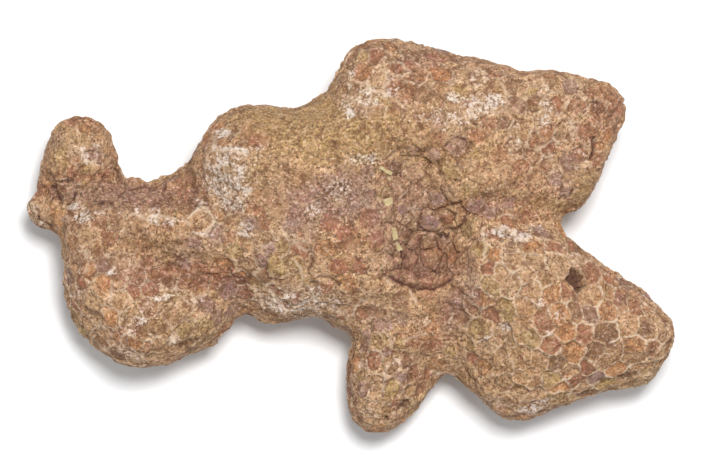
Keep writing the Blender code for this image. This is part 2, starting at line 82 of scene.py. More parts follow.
# Each part of the colony, with what the photograph shows on it:
#   fork     outline round the part, in mm from the middle, half way in the frame's gaps
#   cells    x, y and radius in pixels, and the finish of the filling
#   patches  stains of each finish: x, y, reach x, reach y, turn in degrees, strength
#   cracks   width in pixels, depth, and the pixels that the crack runs through
#   veins    pale lines: width in pixels, strength, and the pixels of the run
#   lifts    swellings: x, y, reach x, reach y, turn, height in mm
trunk = {
    "name": "trunk",
    "slot": "trunk_stone",
    "cells": [
        (422, 141, 10, "ochre"), (413, 147, 6, "plum"), (434, 153, 7, "plum"), (457, 146, 11, "plum"),
        (476, 154, 7, "olive"), (414, 168, 10, "ochre"), (451, 171, 12, "olive"), (470, 164, 9, "tan"),
        (393, 167, 8, "plum"), (368, 172, 9, "plum"), (366, 195, 10, "plum"), (369, 218, 11, "rust"),
        (388, 213, 9, "ochre"), (398, 186, 9, "ochre"), (403, 208, 7, "plum"), (418, 199, 9, "ochre"),
        (437, 197, 10, "plum"), (429, 222, 10, "plum"), (446, 218, 7, "rust"), (459, 215, 9, "ochre"),
        (405, 236, 7, "umber"), (377, 238, 9, "rust"), (388, 262, 9, "tan"), (393, 249, 7, "umber"),
        (417, 243, 9, "rust"), (410, 261, 9, "rust"), (432, 259, 10, "olive"), (443, 266, 6, "umber"),
        (460, 241, 9, "ochre"), (395, 275, 7, "rust"), (411, 275, 8, "rust"), (428, 281, 9, "rust"),
        (444, 281, 7, "rust"), (459, 261, 9, "ochre"), (373, 262, 8, "ochre"), (478, 176, 8, "tan"),
        (223, 142, 9, "orange"), (214, 128, 7, "rust"), (275, 267, 12, "olive"), (292, 262, 9, "olive"),
        (282, 246, 8, "olive"), (270, 248, 8, "plum"), (320, 262, 10, "tan"), (278, 289, 8, "rust"),
        (246, 265, 9, "ochre"), (263, 262, 8, "plum"), (297, 295, 7, "rust"), (325, 288, 9, "rust"),
        (306, 281, 6, "olive"), (343, 232, 9, "rust"), (349, 243, 8, "rust"), (292, 226, 9, "plum"),
        (330, 180, 8, "tan"), (354, 205, 10, "plum"), (322, 205, 8, "plum"), (363, 312, 9, "rust"),
        (380, 325, 9, "plum"), (341, 317, 7, "rust"), (432, 343, 10, "rust"), (451, 351, 8, "olive"),
        (473, 357, 8, "rust"), (455, 305, 9, "plum"), (415, 340, 8, "rust"),
    ],
    "patches": {
        "chalk": [
            (222, 133, 9, 6, -20, 0.7), (224, 149, 13, 4, 10, 0.75), (243, 153, 9, 4, 20, 0.8),
            (214, 165, 6, 12, 0, 0.55), (230, 176, 24, 34, 0, 0.62), (243, 187, 12, 6, 20, 0.7),
            (230, 206, 14, 8, 0, 0.5), (245, 228, 8, 9, 0, 0.6), (205, 205, 6, 9, -40, 0.6),
            (258, 148, 14, 4, -10, 0.35), (345, 103, 10, 10, 0, 0.45), (349, 113, 6, 6, 0, 0.9),
            (371, 158, 14, 5, 0, 0.5), (283, 308, 16, 8, 0, 0.5), (270, 300, 8, 8, 0, 0.35),
            (316, 296, 10, 6, -30, 0.35), (313, 212, 10, 10, 0, 0.45), (425, 325, 12, 8, 0, 0.3),
            (302, 301, 48, 15, 5, 0.5), (338, 190, 16, 12, 0, 0.42), (362, 160, 20, 6, 0, 0.4),
        ],
        "rust": [
            (257, 141, 12, 8, 0, 0.8), (246, 133, 8, 8, 0, 0.5), (190, 190, 22, 16, 40, 0.6),
            (212, 158, 10, 25, 0, 0.35), (350, 238, 14, 14, 0, 0.6), (430, 262, 38, 26, 0, 0.55),
            (458, 303, 14, 22, 20, 0.55), (425, 340, 22, 14, 0, 0.45), (360, 312, 14, 12, 0, 0.3),
            (315, 250, 12, 12, 0, 0.2), (255, 300, 10, 14, 0, 0.3),
        ],
        "plum": [
            (340, 198, 34, 26, 0, 0.8), (300, 212, 22, 28, 0, 0.6), (405, 220, 40, 55, 0, 0.45),
            (455, 308, 16, 26, 15, 0.5), (418, 268, 36, 16, -5, 0.45), (275, 190, 20, 30, 0, 0.25),
            (380, 322, 16, 12, 0, 0.3), (232, 292, 10, 14, 0, 0.5),
        ],
        "umber": [
            (394, 166, 8, 7, 0, 0.8), (441, 263, 5, 7, 0, 0.7), (403, 235, 7, 7, 0, 0.6),
            (441, 236, 6, 5, 0, 0.7), (250, 315, 12, 3, 10, 0.5), (300, 315, 12, 3, -10, 0.4),
            (348, 183, 12, 6, 0, 0.4),
        ],
        "olive": [
            (320, 128, 90, 34, 5, 0.7), (283, 265, 24, 10, 0, 0.35), (262, 170, 22, 20, 0, 0.5),
            (430, 258, 12, 14, 0, 0.3),
        ],
        "tan": [
            (240, 215, 32, 24, 0, 0.5), (230, 175, 26, 40, 0, 0.6), (440, 115, 40, 12, 0, 0.4),
            (330, 225, 28, 12, 0, 0.3), (300, 298, 54, 18, 0, 1.0),
        ],
    },
    "cracks": [
        (1.1, 0.35, [(389, 276), (398, 281), (408, 284), (420, 288), (434, 289), (444, 285), (450, 279)]),
        (0.9, 0.28, [(390, 271), (399, 269), (406, 268), (410, 271)]),
        (0.8, 0.25, [(399, 247), (401, 256), (403, 266)]),
        (0.8, 0.28, [(452, 201), (459, 203), (464, 209), (466, 215), (463, 223), (458, 229), (450, 229)]),
        (0.7, 0.22, [(450, 211), (452, 215), (456, 213)]),
        (0.7, 0.22, [(417, 221), (420, 226), (424, 231), (431, 233)]),
        (0.8, 0.3, [(440, 238), (442, 232), (446, 238), (449, 233)]),
        (0.7, 0.24, [(443, 256), (441, 263), (439, 270)]),
        (0.7, 0.22, [(457, 163), (460, 168), (463, 172)]),
        (0.7, 0.2, [(444, 147), (449, 141), (458, 138), (466, 140), (469, 148), (465, 155)]),
        (0.7, 0.2, [(449, 186), (452, 191), (455, 196)]),
        (0.6, 0.2, [(381, 203), (385, 198), (390, 197)]),
        (0.7, 0.22, [(313, 258), (311, 265), (309, 273), (311, 280), (316, 283)]),
        (0.7, 0.22, [(312, 281), (319, 276), (325, 276), (331, 280), (340, 284)]),
        (0.6, 0.2, [(325, 246), (330, 245), (336, 248)]), (0.6, 0.2, [(312, 251), (314, 257)]),
        (0.6, 0.18, [(356, 258), (362, 268), (369, 276)]),
        (0.6, 0.18, [(266, 262), (267, 274), (273, 281), (284, 279)]),
        (0.8, 0.3, [(333, 141), (336, 144)]), (0.6, 0.2, [(238, 121), (241, 120)]),
        (0.6, 0.22, [(422, 355), (432, 357)]), (0.7, 0.2, [(237, 275), (244, 283), (248, 292)]),
    ],
    "veins": [
        (0.9, 0.7, [(253, 286), (259, 296), (262, 304)]),
        (0.8, 0.7, [(293, 259), (300, 266), (303, 275), (302, 285)]),
        (0.8, 0.6, [(270, 291), (275, 297), (281, 299)]),
        (0.8, 0.7, [(281, 229), (285, 236), (289, 240)]),
        (0.8, 0.6, [(293, 241), (300, 247), (307, 251)]), (0.8, 0.6, [(265, 248), (270, 242)]),
        (0.8, 0.7, [(386, 280), (389, 285)]), (0.9, 0.8, [(409, 290), (412, 297), (415, 301)]),
        (0.8, 0.6, [(352, 310), (358, 306), (361, 301), (367, 301)]),
        (0.7, 0.5, [(336, 311), (345, 312), (348, 320)]),
        (0.9, 0.8, [(216, 138), (215, 145), (219, 151), (230, 150), (240, 153), (248, 156)]),
        (0.8, 0.6, [(404, 340), (420, 336), (427, 333)]),
        (0.7, 0.7, [(408, 207), (414, 211), (421, 208)]),
        (0.7, 0.5, [(398, 199), (404, 194), (408, 192)]),
        (0.7, 0.5, [(362, 200), (366, 206), (372, 207)]),
    ],
    "lifts": [(230, 180, 34, 56, 10, 0.3), (283, 306, 26, 12, 0, 0.3)],
}

upperRight = {
    "name": "upper_right_branch",
    "slot": "upper_right_stone",
    "fork": [(-6.0, 21.4), (21.0, -0.7), (60.0, -0.7), (60.0, 40.0), (-6.0, 40.0)],
    "cells": [
        (361, 71, 10, "orange"), (378, 79, 10, "tan"), (396, 61, 7, "umber"), (408, 66, 7, "rust"),
        (355, 92, 7, "umber"), (365, 94, 7, "olive"), (377, 98, 7, "olive"), (398, 68, 7, "rust"),
        (390, 46, 9, "orange"), (372, 46, 8, "umber"), (408, 95, 10, "rust"), (424, 95, 8, "umber"),
        (443, 89, 9, "ochre"), (440, 73, 10, "orange"), (463, 72, 11, "tan"), (418, 77, 9, "rust"),
        (562, 132, 9, "tan"), (547, 133, 8, "orange"), (597, 107, 7, "umber"), (611, 112, 9, "rust"),
        (533, 104, 9, "umber"), (535, 142, 9, "rust"), (548, 147, 9, "rust"), (567, 163, 9, "plum"),
        (533, 158, 9, "tan"), (521, 167, 9, "rust"), (556, 180, 8, "plum"), (533, 92, 7, "olive"),
        (558, 105, 8, "rust"), (505, 123, 8, "umber"), (600, 146, 8, "orange"), (566, 193, 8, "plum"),
        (525, 217, 9, "rust"), (507, 222, 9, "rust"), (489, 213, 8, "plum"), (478, 137, 8, "orange"),
        (521, 233, 7, "rust"), (480, 100, 9, "tan"), (496, 103, 7, "tan"), (512, 88, 8, "umber"),
        (498, 68, 9, "ochre"), (590, 92, 7, "rust"), (588, 133, 9, "rust"), (476, 205, 9, "plum"),
        (500, 170, 9, "ochre"), (515, 145, 9, "tan"), (536, 182, 9, "ochre"), (548, 165, 8, "tan"),
    ],
    "patches": {
        "chalk": [
            (366, 91, 10, 6, 10, 0.6), (388, 94, 14, 5, -20, 0.6), (352, 75, 4, 14, 10, 0.5),
            (365, 101, 20, 5, 0, 0.55), (392, 84, 8, 8, 0, 0.3), (456, 98, 10, 6, 20, 0.75),
            (475, 106, 16, 12, 0, 0.5), (494, 101, 14, 7, 0, 0.75), (463, 118, 16, 10, 0, 0.45),
            (546, 113, 8, 14, 0, 0.5), (545, 92, 7, 7, 0, 0.35), (570, 122, 16, 5, 30, 0.3),
            (517, 133, 6, 12, 0, 0.45), (476, 78, 12, 12, 0, 0.3), (440, 117, 24, 8, 0, 0.35),
            (505, 232, 16, 6, 10, 0.9), (524, 237, 12, 5, 0, 0.8), (536, 228, 9, 5, -10, 0.5),
            (584, 157, 10, 4, 50, 0.35), (514, 145, 8, 8, 0, 0.35), (452, 127, 14, 6, 0, 0.35),
        ],
        "rust": [
            (603, 112, 20, 24, 0, 0.75), (588, 135, 16, 14, 0, 0.55), (430, 68, 26, 12, 10, 0.45),
            (361, 72, 12, 14, 0, 0.4), (530, 170, 26, 30, 0, 0.35), (500, 212, 38, 12, 8, 0.45),
            (545, 140, 18, 14, 0, 0.45), (480, 62, 90, 6, 8, 0.35), (406, 92, 16, 16, 0, 0.35),
            (478, 137, 12, 8, 0, 0.4), (560, 108, 16, 16, 0, 0.3), (375, 47, 24, 8, 0, 0.35),
        ],
        "plum": [
            (571, 163, 8, 12, 0, 0.6), (488, 208, 16, 9, 0, 0.5), (560, 186, 14, 14, 0, 0.35),
            (420, 60, 20, 8, 0, 0.3), (505, 124, 8, 7, 0, 0.4), (362, 110, 12, 8, 0, 0.5),
        ],
        "umber": [
            (597, 104, 7, 6, 0, 0.6), (510, 82, 12, 8, 0, 0.4), (430, 90, 10, 12, 20, 0.45),
            (480, 60, 120, 4, 8, 0.35), (575, 205, 14, 4, -20, 0.6),
        ],
        "olive": [
            (584, 192, 12, 20, 30, 0.6), (480, 148, 14, 10, 0, 0.35), (560, 205, 14, 8, 0, 0.4),
            (375, 60, 30, 14, 0, 0.2),
        ],
        "tan": [
            (500, 125, 50, 24, 0, 0.35), (570, 90, 40, 10, 15, 0.3), (615, 105, 8, 24, 0, 0.4),
            (470, 110, 40, 18, 0, 0.35), (555, 200, 12, 12, 0, 0.25),
        ],
    },
    "cracks": [
        (1.0, 0.4, [(595, 138), (593, 147), (592, 154), (590, 160)]),
        (0.8, 0.3, [(594, 102), (598, 104)]), (0.7, 0.25, [(587, 101), (587, 107)]),
        (0.6, 0.2, [(570, 196), (573, 191), (574, 186)]), (0.6, 0.2, [(517, 213), (520, 218)]),
        (0.6, 0.2, [(422, 67), (429, 63)]), (0.6, 0.2, [(475, 84), (480, 84)]),
        (0.6, 0.2, [(396, 58), (402, 62)]),
    ],
    "veins": [
        (0.9, 0.8, [(368, 82), (369, 90), (372, 95), (371, 101)]),
        (0.8, 0.7, [(372, 91), (380, 92), (388, 95)]),
        (0.8, 0.6, [(384, 88), (389, 81), (386, 74), (388, 71)]),
        (0.8, 0.5, [(400, 62), (405, 70), (412, 73)]), (0.8, 0.6, [(536, 149), (544, 146), (552, 142)]),
        (0.8, 0.5, [(549, 151), (552, 160)]), (0.8, 0.5, [(556, 128), (554, 138), (558, 144)]),
        (0.8, 0.5, [(571, 121), (576, 130), (572, 140)]),
        (0.8, 0.6, [(500, 227), (513, 230), (520, 238), (532, 240)]),
        (0.7, 0.5, [(499, 218), (510, 214), (516, 219)]),
    ],
    "lifts": [],
}

lowerRight = {
    "name": "lower_right_branch",
    "slot": "lower_right_stone",
    "fork": [
        (14.9, -22.0), (16.3, -9.0), (19.5, 0.6), (32.6, 2.5), (60.0, 2.5), (60.0, -40.0), (14.9, -40.0),
    ],
    "cells": [
        (494, 234, 9, "rust"), (534, 244, 8, "orange"), (556, 246, 8, "rust"), (493, 255, 7, "orange"),
        (514, 260, 10, "tan"), (535, 263, 9, "tan"), (556, 263, 9, "tan"), (489, 268, 8, "rust"),
        (501, 272, 8, "ochre"), (525, 275, 9, "tan"), (545, 278, 9, "ochre"), (511, 284, 9, "tan"),
        (488, 286, 9, "olive"), (553, 294, 9, "orange"), (568, 293, 7, "rust"), (530, 290, 9, "ochre"),
        (579, 281, 9, "hole"), (592, 296, 10, "ochre"), (608, 295, 8, "ochre"), (575, 312, 9, "umber"),
        (607, 312, 12, "orange"), (506, 311, 10, "olive"), (524, 309, 8, "ochre"), (544, 321, 11, "rust"),
        (524, 325, 9, "ochre"), (478, 329, 11, "olive"), (505, 334, 10, "tan"), (529, 336, 10, "olive"),
        (565, 332, 10, "orange"), (584, 333, 9, "rust"), (606, 332, 11, "umber"), (646, 329, 9, "umber"),
        (629, 325, 10, "ochre"), (553, 345, 9, "rust"), (572, 353, 11, "orange"), (595, 353, 10, "umber"),
        (615, 351, 9, "ochre"), (634, 347, 10, "orange"), (653, 349, 8, "rust"), (588, 370, 9, "rust"),
        (613, 368, 11, "orange"), (628, 376, 9, "umber"), (646, 367, 10, "ochre"), (570, 371, 9, "ochre"),
        (554, 378, 9, "olive"), (556, 397, 10, "olive"), (584, 387, 9, "ochre"), (606, 383, 9, "olive"),
        (541, 361, 10, "ochre"), (520, 358, 10, "ochre"), (500, 362, 10, "ochre"),
        (482, 367, 9, "orange"), (525, 379, 10, "ochre"), (504, 383, 10, "tan"), (487, 389, 9, "ochre"),
        (531, 396, 9, "tan"), (509, 401, 10, "tan"), (493, 313, 8, "rust"), (472, 306, 8, "rust"),
        (486, 347, 9, "tan"), (470, 348, 8, "olive"), (620, 300, 8, "rust"), (636, 305, 8, "rust"),
        (664, 337, 8, "tan"), (662, 318, 8, "umber"), (577, 258, 8, "tan"), (592, 272, 9, "rust"),
        (610, 281, 8, "rust"), (625, 283, 8, "umber"), (572, 244, 8, "rust"), (592, 257, 7, "ochre"),
        (648, 312, 8, "ochre"),
    ],
    "patches": {
        "chalk": [
            (540, 404, 14, 6, -20, 0.7), (528, 411, 12, 5, 0, 0.6), (560, 315, 6, 7, 0, 0.5),
            (506, 327, 7, 5, 0, 0.5), (540, 303, 8, 5, 0, 0.45), (485, 338, 8, 3, -30, 0.4),
            (575, 258, 6, 6, 0, 0.45), (475, 298, 7, 6, 0, 0.35), (485, 232, 5, 12, 20, 0.45),
            (500, 405, 18, 8, 20, 0.25), (612, 343, 6, 6, 0, 0.35), (547, 333, 8, 3, 10, 0.5),
        ],
        "rust": [
            (545, 322, 12, 10, 0, 0.35), (553, 345, 10, 8, 0, 0.3), (636, 300, 20, 8, 30, 0.35),
            (600, 265, 22, 8, 40, 0.3), (478, 291, 3, 6, 0, 1.0), (475, 308, 10, 7, 0, 0.4),
            (590, 320, 60, 40, 0, 0.12),
        ],
        "plum": [
            (611, 341, 7, 6, 0, 0.55), (625, 284, 10, 5, 35, 0.6), (474, 285, 8, 30, 0, 0.4),
            (620, 298, 8, 5, 30, 0.4), (646, 328, 7, 8, 0, 0.25), (509, 244, 6, 4, 0, 0.5),
        ],
        "umber": [
            (597, 349, 6, 6, 0, 0.4), (628, 376, 10, 7, 0, 0.4), (640, 385, 24, 4, -25, 0.3),
            (526, 269, 2, 2, 0, 0.8), (545, 278, 2, 3, 0, 0.5),
        ],
        "olive": [
            (500, 370, 34, 30, 0, 0.15), (640, 380, 30, 8, -25, 0.4), (556, 395, 14, 7, 0, 0.4),
            (600, 390, 40, 5, -15, 0.35), (506, 311, 9, 9, 0, 0.3),
        ],
        "tan": [
            (525, 275, 32, 28, 0, 0.45), (478, 330, 12, 10, 0, 0.35), (515, 400, 34, 14, 0, 0.35),
            (480, 345, 16, 16, 0, 0.3), (530, 336, 10, 8, 0, 0.3),
        ],
    },
    "cracks": [
        (0.6, 0.2, [(597, 343), (604, 347), (607, 352)]),
        (0.6, 0.2, [(465, 372), (472, 380), (476, 388)]),
    ],
    "veins": [
        (0.8, 0.6, [(482, 230), (486, 245), (484, 262)]),
        (0.7, 0.4, [(505, 254), (520, 250), (540, 256)]),
    ],
    "lifts": [
        (607, 313, 11, 10, 0, 0.25), (506, 311, 9, 9, 0, 0.2), (478, 329, 10, 9, 0, 0.2),
        (556, 397, 12, 6, 0, 0.2),
    ],
}

lowerStub = {
    "name": "lower_stub",
    "slot": "lower_stub_stone",
    "fork": [(-2.9, -14.1), (-2.9, -40.0), (15.1, -40.0), (15.1, -20.8)],
    "cells": [
        (379, 340, 9, "olive"), (366, 335, 6, "plum"), (364, 346, 6, "plum"), (401, 343, 9, "olive"),
        (386, 327, 6, "plum"), (386, 353, 6, "plum"), (373, 360, 10, "rust"), (390, 367, 9, "ochre"),
        (405, 362, 6, "umber"), (413, 370, 7, "rust"), (375, 382, 9, "tan"), (361, 376, 7, "olive"),
        (391, 390, 10, "olive"), (376, 396, 7, "tan"), (396, 405, 7, "rust"), (362, 389, 8, "plum"),
        (360, 403, 8, "tan"), (373, 408, 9, "ochre"), (386, 414, 8, "ochre"), (368, 422, 8, "tan"),
        (404, 378, 6, "plum"), (412, 390, 8, "ochre"), (426, 376, 8, "rust"), (405, 405, 7, "ochre"),
    ],
    "patches": {
        "chalk": [
            (385, 375, 3, 8, 20, 0.35), (397, 361, 4, 6, 0, 0.4), (362, 365, 5, 8, 0, 0.35),
            (365, 413, 12, 8, 0, 0.25), (440, 374, 14, 2, -5, 0.4),
        ],
        "rust": [(371, 360, 9, 10, 0, 0.35), (415, 375, 12, 6, 0, 0.45), (396, 418, 10, 6, 0, 0.35)],
        "plum": [(405, 363, 8, 6, 0, 0.35), (363, 388, 8, 6, 0, 0.4), (352, 385, 4, 20, 0, 0.35)],
        "umber": [(400, 402, 9, 5, -30, 0.7), (415, 377, 8, 4, 0, 0.5), (385, 429, 8, 2, 0, 0.8)],
        "olive": [(379, 340, 7, 7, 0, 0.4), (415, 398, 14, 14, 0, 0.3), (388, 408, 8, 14, 0, 0.3)],
        "tan": [(365, 412, 16, 14, 0, 0.35), (440, 365, 16, 10, 0, 0.3)],
    },
    "cracks": [
        (0.8, 0.3, [(401, 406), (403, 402), (407, 399)]), (0.8, 0.25, [(406, 367), (411, 369)]),
        (0.8, 0.3, [(386, 419), (388, 420)]), (0.6, 0.2, [(402, 396), (409, 388), (414, 384)]),
        (0.6, 0.2, [(413, 398), (421, 389)]), (0.6, 0.2, [(384, 383), (391, 379), (397, 380)]),
    ],
    "veins": [
        (0.7, 0.6, [(373, 349), (379, 351), (382, 359)]),
        (0.7, 0.5, [(383, 372), (384, 384), (384, 393)]),
        (0.7, 0.5, [(432, 371), (440, 374), (450, 374)]),
    ],
    "lifts": [],
}

leftBranch = {
    "name": "left_branch",
    "slot": "left_stone",
    "fork": [(-60.0, 13.0), (-60.0, -25.0), (-9.7, -25.0), (-25.4, 13.0)],
    "cells": [
        (201, 221, 11, "tan"), (216, 233, 9, "plum"), (71, 213, 7, "rust"), (100, 222, 10, "rust"),
        (168, 226, 8, "rust"), (77, 260, 8, "tan"), (78, 282, 8, "rust"), (97, 250, 9, "ochre"),
        (120, 260, 10, "tan"), (104, 282, 9, "orange"), (91, 302, 10, "ochre"), (120, 300, 10, "ochre"),
        (110, 318, 9, "orange"), (88, 322, 9, "ochre"), (133, 316, 9, "ochre"), (101, 339, 10, "orange"),
        (119, 338, 9, "orange"), (135, 345, 10, "orange"), (145, 348, 8, "rust"), (158, 325, 10, "ochre"),
        (182, 330, 11, "olive"), (205, 326, 9, "olive"), (160, 345, 9, "ochre"), (188, 286, 10, "olive"),
        (207, 306, 9, "plum"), (228, 290, 10, "plum"), (150, 290, 9, "rust"), (185, 305, 9, "ochre"),
        (200, 290, 8, "ochre"), (147, 262, 9, "rust"), (135, 225, 10, "ochre"), (150, 240, 9, "ochre"),
        (193, 243, 9, "plum"), (215, 250, 9, "tan"), (85, 240, 9, "tan"), (110, 238, 9, "rust"),
        (118, 280, 8, "ochre"), (75, 305, 7, "rust"), (135, 290, 8, "rust"), (170, 250, 9, "tan"),
        (185, 262, 8, "plum"), (205, 268, 8, "rust"), (183, 232, 8, "ochre"), (118, 222, 9, "umber"),
        (36, 208, 8, "tan"), (46, 218, 7, "tan"), (180, 193, 9, "rust"), (155, 200, 9, "plum"),
    ],
    "patches": {
        "chalk": [
            (73, 207, 10, 4, 0, 0.8), (83, 216, 10, 8, 10, 0.75), (65, 219, 5, 4, 0, 0.6),
            (155, 218, 9, 7, 0, 0.75), (170, 221, 10, 5, 0, 0.5), (110, 273, 6, 4, 0, 0.95),
            (163, 298, 12, 4, -5, 0.8), (180, 294, 10, 5, 0, 0.45), (140, 320, 8, 14, 50, 0.5),
            (130, 332, 10, 6, 0, 0.4), (133, 355, 14, 6, 30, 0.45), (173, 337, 8, 5, -40, 0.45),
            (145, 306, 8, 8, 40, 0.4), (74, 294, 6, 4, 0, 0.5), (32, 210, 8, 8, 0, 0.4),
            (40, 224, 10, 5, 20, 0.4), (96, 215, 10, 4, 0, 0.4), (200, 340, 16, 4, -20, 0.2),
            (205, 209, 12, 2, 0, 0.5), (215, 222, 3, 8, 10, 0.6), (203, 234, 12, 2, 10, 0.6),
            (190, 298, 14, 8, 0, 0.35), (133, 212, 14, 4, 0, 0.3),
        ],
        "rust": [
            (200, 277, 52, 14, 4, 1.0), (150, 275, 34, 14, 0, 0.6), (150, 196, 60, 12, 8, 0.55),
            (71, 226, 8, 12, 0, 0.4), (75, 275, 10, 30, 0, 0.3), (120, 340, 20, 14, 0, 0.35),
            (182, 190, 18, 14, 0, 0.55), (100, 222, 16, 10, 0, 0.35), (110, 285, 14, 8, 0, 0.35),
            (145, 240, 20, 20, 0, 0.2), (58, 190, 10, 16, 0, 0.5), (242, 285, 10, 16, 0, 0.45),
        ],
        "plum": [
            (216, 236, 8, 11, 0, 0.6), (230, 288, 12, 14, 0, 0.6), (207, 305, 10, 8, 0, 0.6),
            (120, 196, 64, 14, 4, 0.65), (190, 248, 20, 16, 0, 0.35), (125, 265, 24, 14, 0, 0.3),
            (150, 285, 30, 8, 0, 0.3), (90, 262, 14, 14, 0, 0.25),
        ],
        "umber": [
            (66, 200, 6, 8, 0, 0.6), (105, 205, 20, 4, 0, 0.5), (188, 343, 12, 4, -20, 0.4),
            (170, 262, 18, 8, 0, 0.35), (130, 228, 20, 12, 0, 0.3), (45, 218, 10, 8, 0, 0.4),
            # (200, 280) darkens the channel between the lower lobe and the trunk: partly the stone's
            # colour, partly painted shade in the valley
            (200, 280, 48, 8, 3, 0.4), (203, 207, 14, 2, 0, 0.5),
        ],
        "olive": [
            (188, 286, 12, 4, 12, 0.8), (196, 330, 26, 14, -10, 0.45), (150, 335, 16, 16, 0, 0.25),
            (165, 245, 16, 14, 0, 0.2),
        ],
        "tan": [
            (90, 235, 16, 14, 0, 0.5), (80, 262, 10, 12, 0, 0.4), (178, 318, 22, 14, 0, 0.3),
            (33, 210, 10, 12, 0, 0.5), (150, 233, 16, 10, 0, 0.3),
        ],
    },
    "cracks": [
        (0.9, 0.32, [(96, 203), (104, 203), (113, 201), (119, 197)]),
        (0.8, 0.3, [(119, 197), (128, 192), (138, 188), (145, 185)]),
        (1.0, 0.3, [(52, 186), (57, 194), (62, 202)]), (0.8, 0.3, [(68, 204), (74, 199), (76, 193)]),
        (0.7, 0.22, [(181, 347), (188, 342), (196, 338)]),
        (0.6, 0.2, [(172, 263), (177, 257), (182, 254)]), (0.8, 0.3, [(38, 211), (40, 212)]),
        (0.8, 0.3, [(47, 223), (51, 228)]), (0.6, 0.2, [(207, 235), (213, 229), (217, 224)]),
        (0.6, 0.18, [(187, 285), (190, 286)]), (0.6, 0.2, [(160, 308), (166, 303), (171, 300)]),
        (0.6, 0.2, [(191, 203), (200, 209)]),
    ],
    "veins": [
        (0.8, 0.5, [(111, 283), (112, 295), (108, 302)]),
        (0.8, 0.5, [(123, 309), (127, 302), (130, 298)]),
        (0.8, 0.5, [(100, 320), (105, 328), (112, 334)]),
        (0.9, 0.6, [(120, 350), (121, 338), (127, 333), (134, 336)]),
        (0.8, 0.5, [(92, 338), (97, 333), (103, 336)]), (0.8, 0.4, [(104, 312), (113, 308), (122, 312)]),
        (0.9, 0.7, [(192, 215), (200, 209), (211, 212), (214, 222), (209, 231), (201, 235), (193, 232)]),
        (0.8, 0.6, [(131, 213), (145, 218), (160, 217), (176, 219)]),
        (0.8, 0.5, [(169, 344), (172, 337), (176, 332)]), (0.7, 0.5, [(85, 252), (90, 262), (84, 272)]),
    ],
    "lifts": [(170, 318, 60, 22, 0, 0.2)],
}

leftKnob = {
    "name": "left_knob",
    "slot": "left_knob_stone",
    "fork": [(-51.9, 5.1), (-33.4, 8.7), (-33.4, 24.0), (-51.9, 24.0)],
    "cells": [
        (94, 153, 8, "plum"), (87, 170, 8, "olive"), (73, 121, 8, "rust"), (76, 155, 8, "tan"),
        (100, 133, 8, "ochre"), (85, 130, 8, "orange"), (68, 137, 8, "tan"), (59, 150, 8, "olive"),
        (57, 172, 8, "ochre"), (73, 174, 7, "rust"), (108, 160, 8, "umber"), (105, 174, 8, "rust"),
        (47, 175, 7, "umber"), (62, 160, 8, "ochre"), (98, 122, 7, "rust"),
    ],
    "patches": {
        "chalk": [
            (84, 154, 4, 9, -15, 0.7), (93, 163, 10, 3, 0, 0.6), (77, 152, 8, 7, 0, 0.3),
            (96, 146, 7, 2, 35, 0.5), (103, 155, 8, 3, 10, 0.3),
        ],
        "rust": [
            (82, 122, 18, 7, 0, 0.55), (74, 166, 6, 12, 0, 0.5), (90, 177, 22, 5, 0, 0.75),
            (106, 165, 10, 14, 0, 0.4), (45, 168, 6, 24, 10, 0.45), (102, 126, 8, 8, 0, 0.4),
        ],
        "plum": [(93, 154, 8, 7, 0, 0.6), (67, 182, 10, 5, 0, 0.5), (58, 141, 6, 10, 0, 0.25)],
        "umber": [(107, 163, 8, 10, 0, 0.4), (116, 172, 4, 8, 0, 0.6), (69, 182, 6, 3, 0, 0.5)],
        "olive": [(86, 170, 9, 5, 0, 0.6), (60, 162, 10, 20, 0, 0.35), (75, 138, 16, 8, 0, 0.25)],
        "tan": [(78, 150, 12, 10, 0, 0.3), (68, 137, 10, 8, 0, 0.2)],
    },
    "cracks": [
        (0.7, 0.25, [(86, 153), (90, 151), (96, 148)]), (0.6, 0.2, [(117, 166), (118, 176)]),
        (0.7, 0.25, [(73, 119), (79, 119)]), (0.8, 0.25, [(66, 181), (73, 182)]),
        (0.6, 0.2, [(90, 180), (97, 181)]),
    ],
    "veins": [
        (0.8, 0.7, [(82, 149), (85, 157), (87, 162), (97, 162)]),
        (0.7, 0.5, [(93, 144), (97, 148), (101, 150)]),
    ],
    "lifts": [],
}

pieces = [leftKnob, leftBranch, lowerStub, lowerRight, upperRight, trunk]

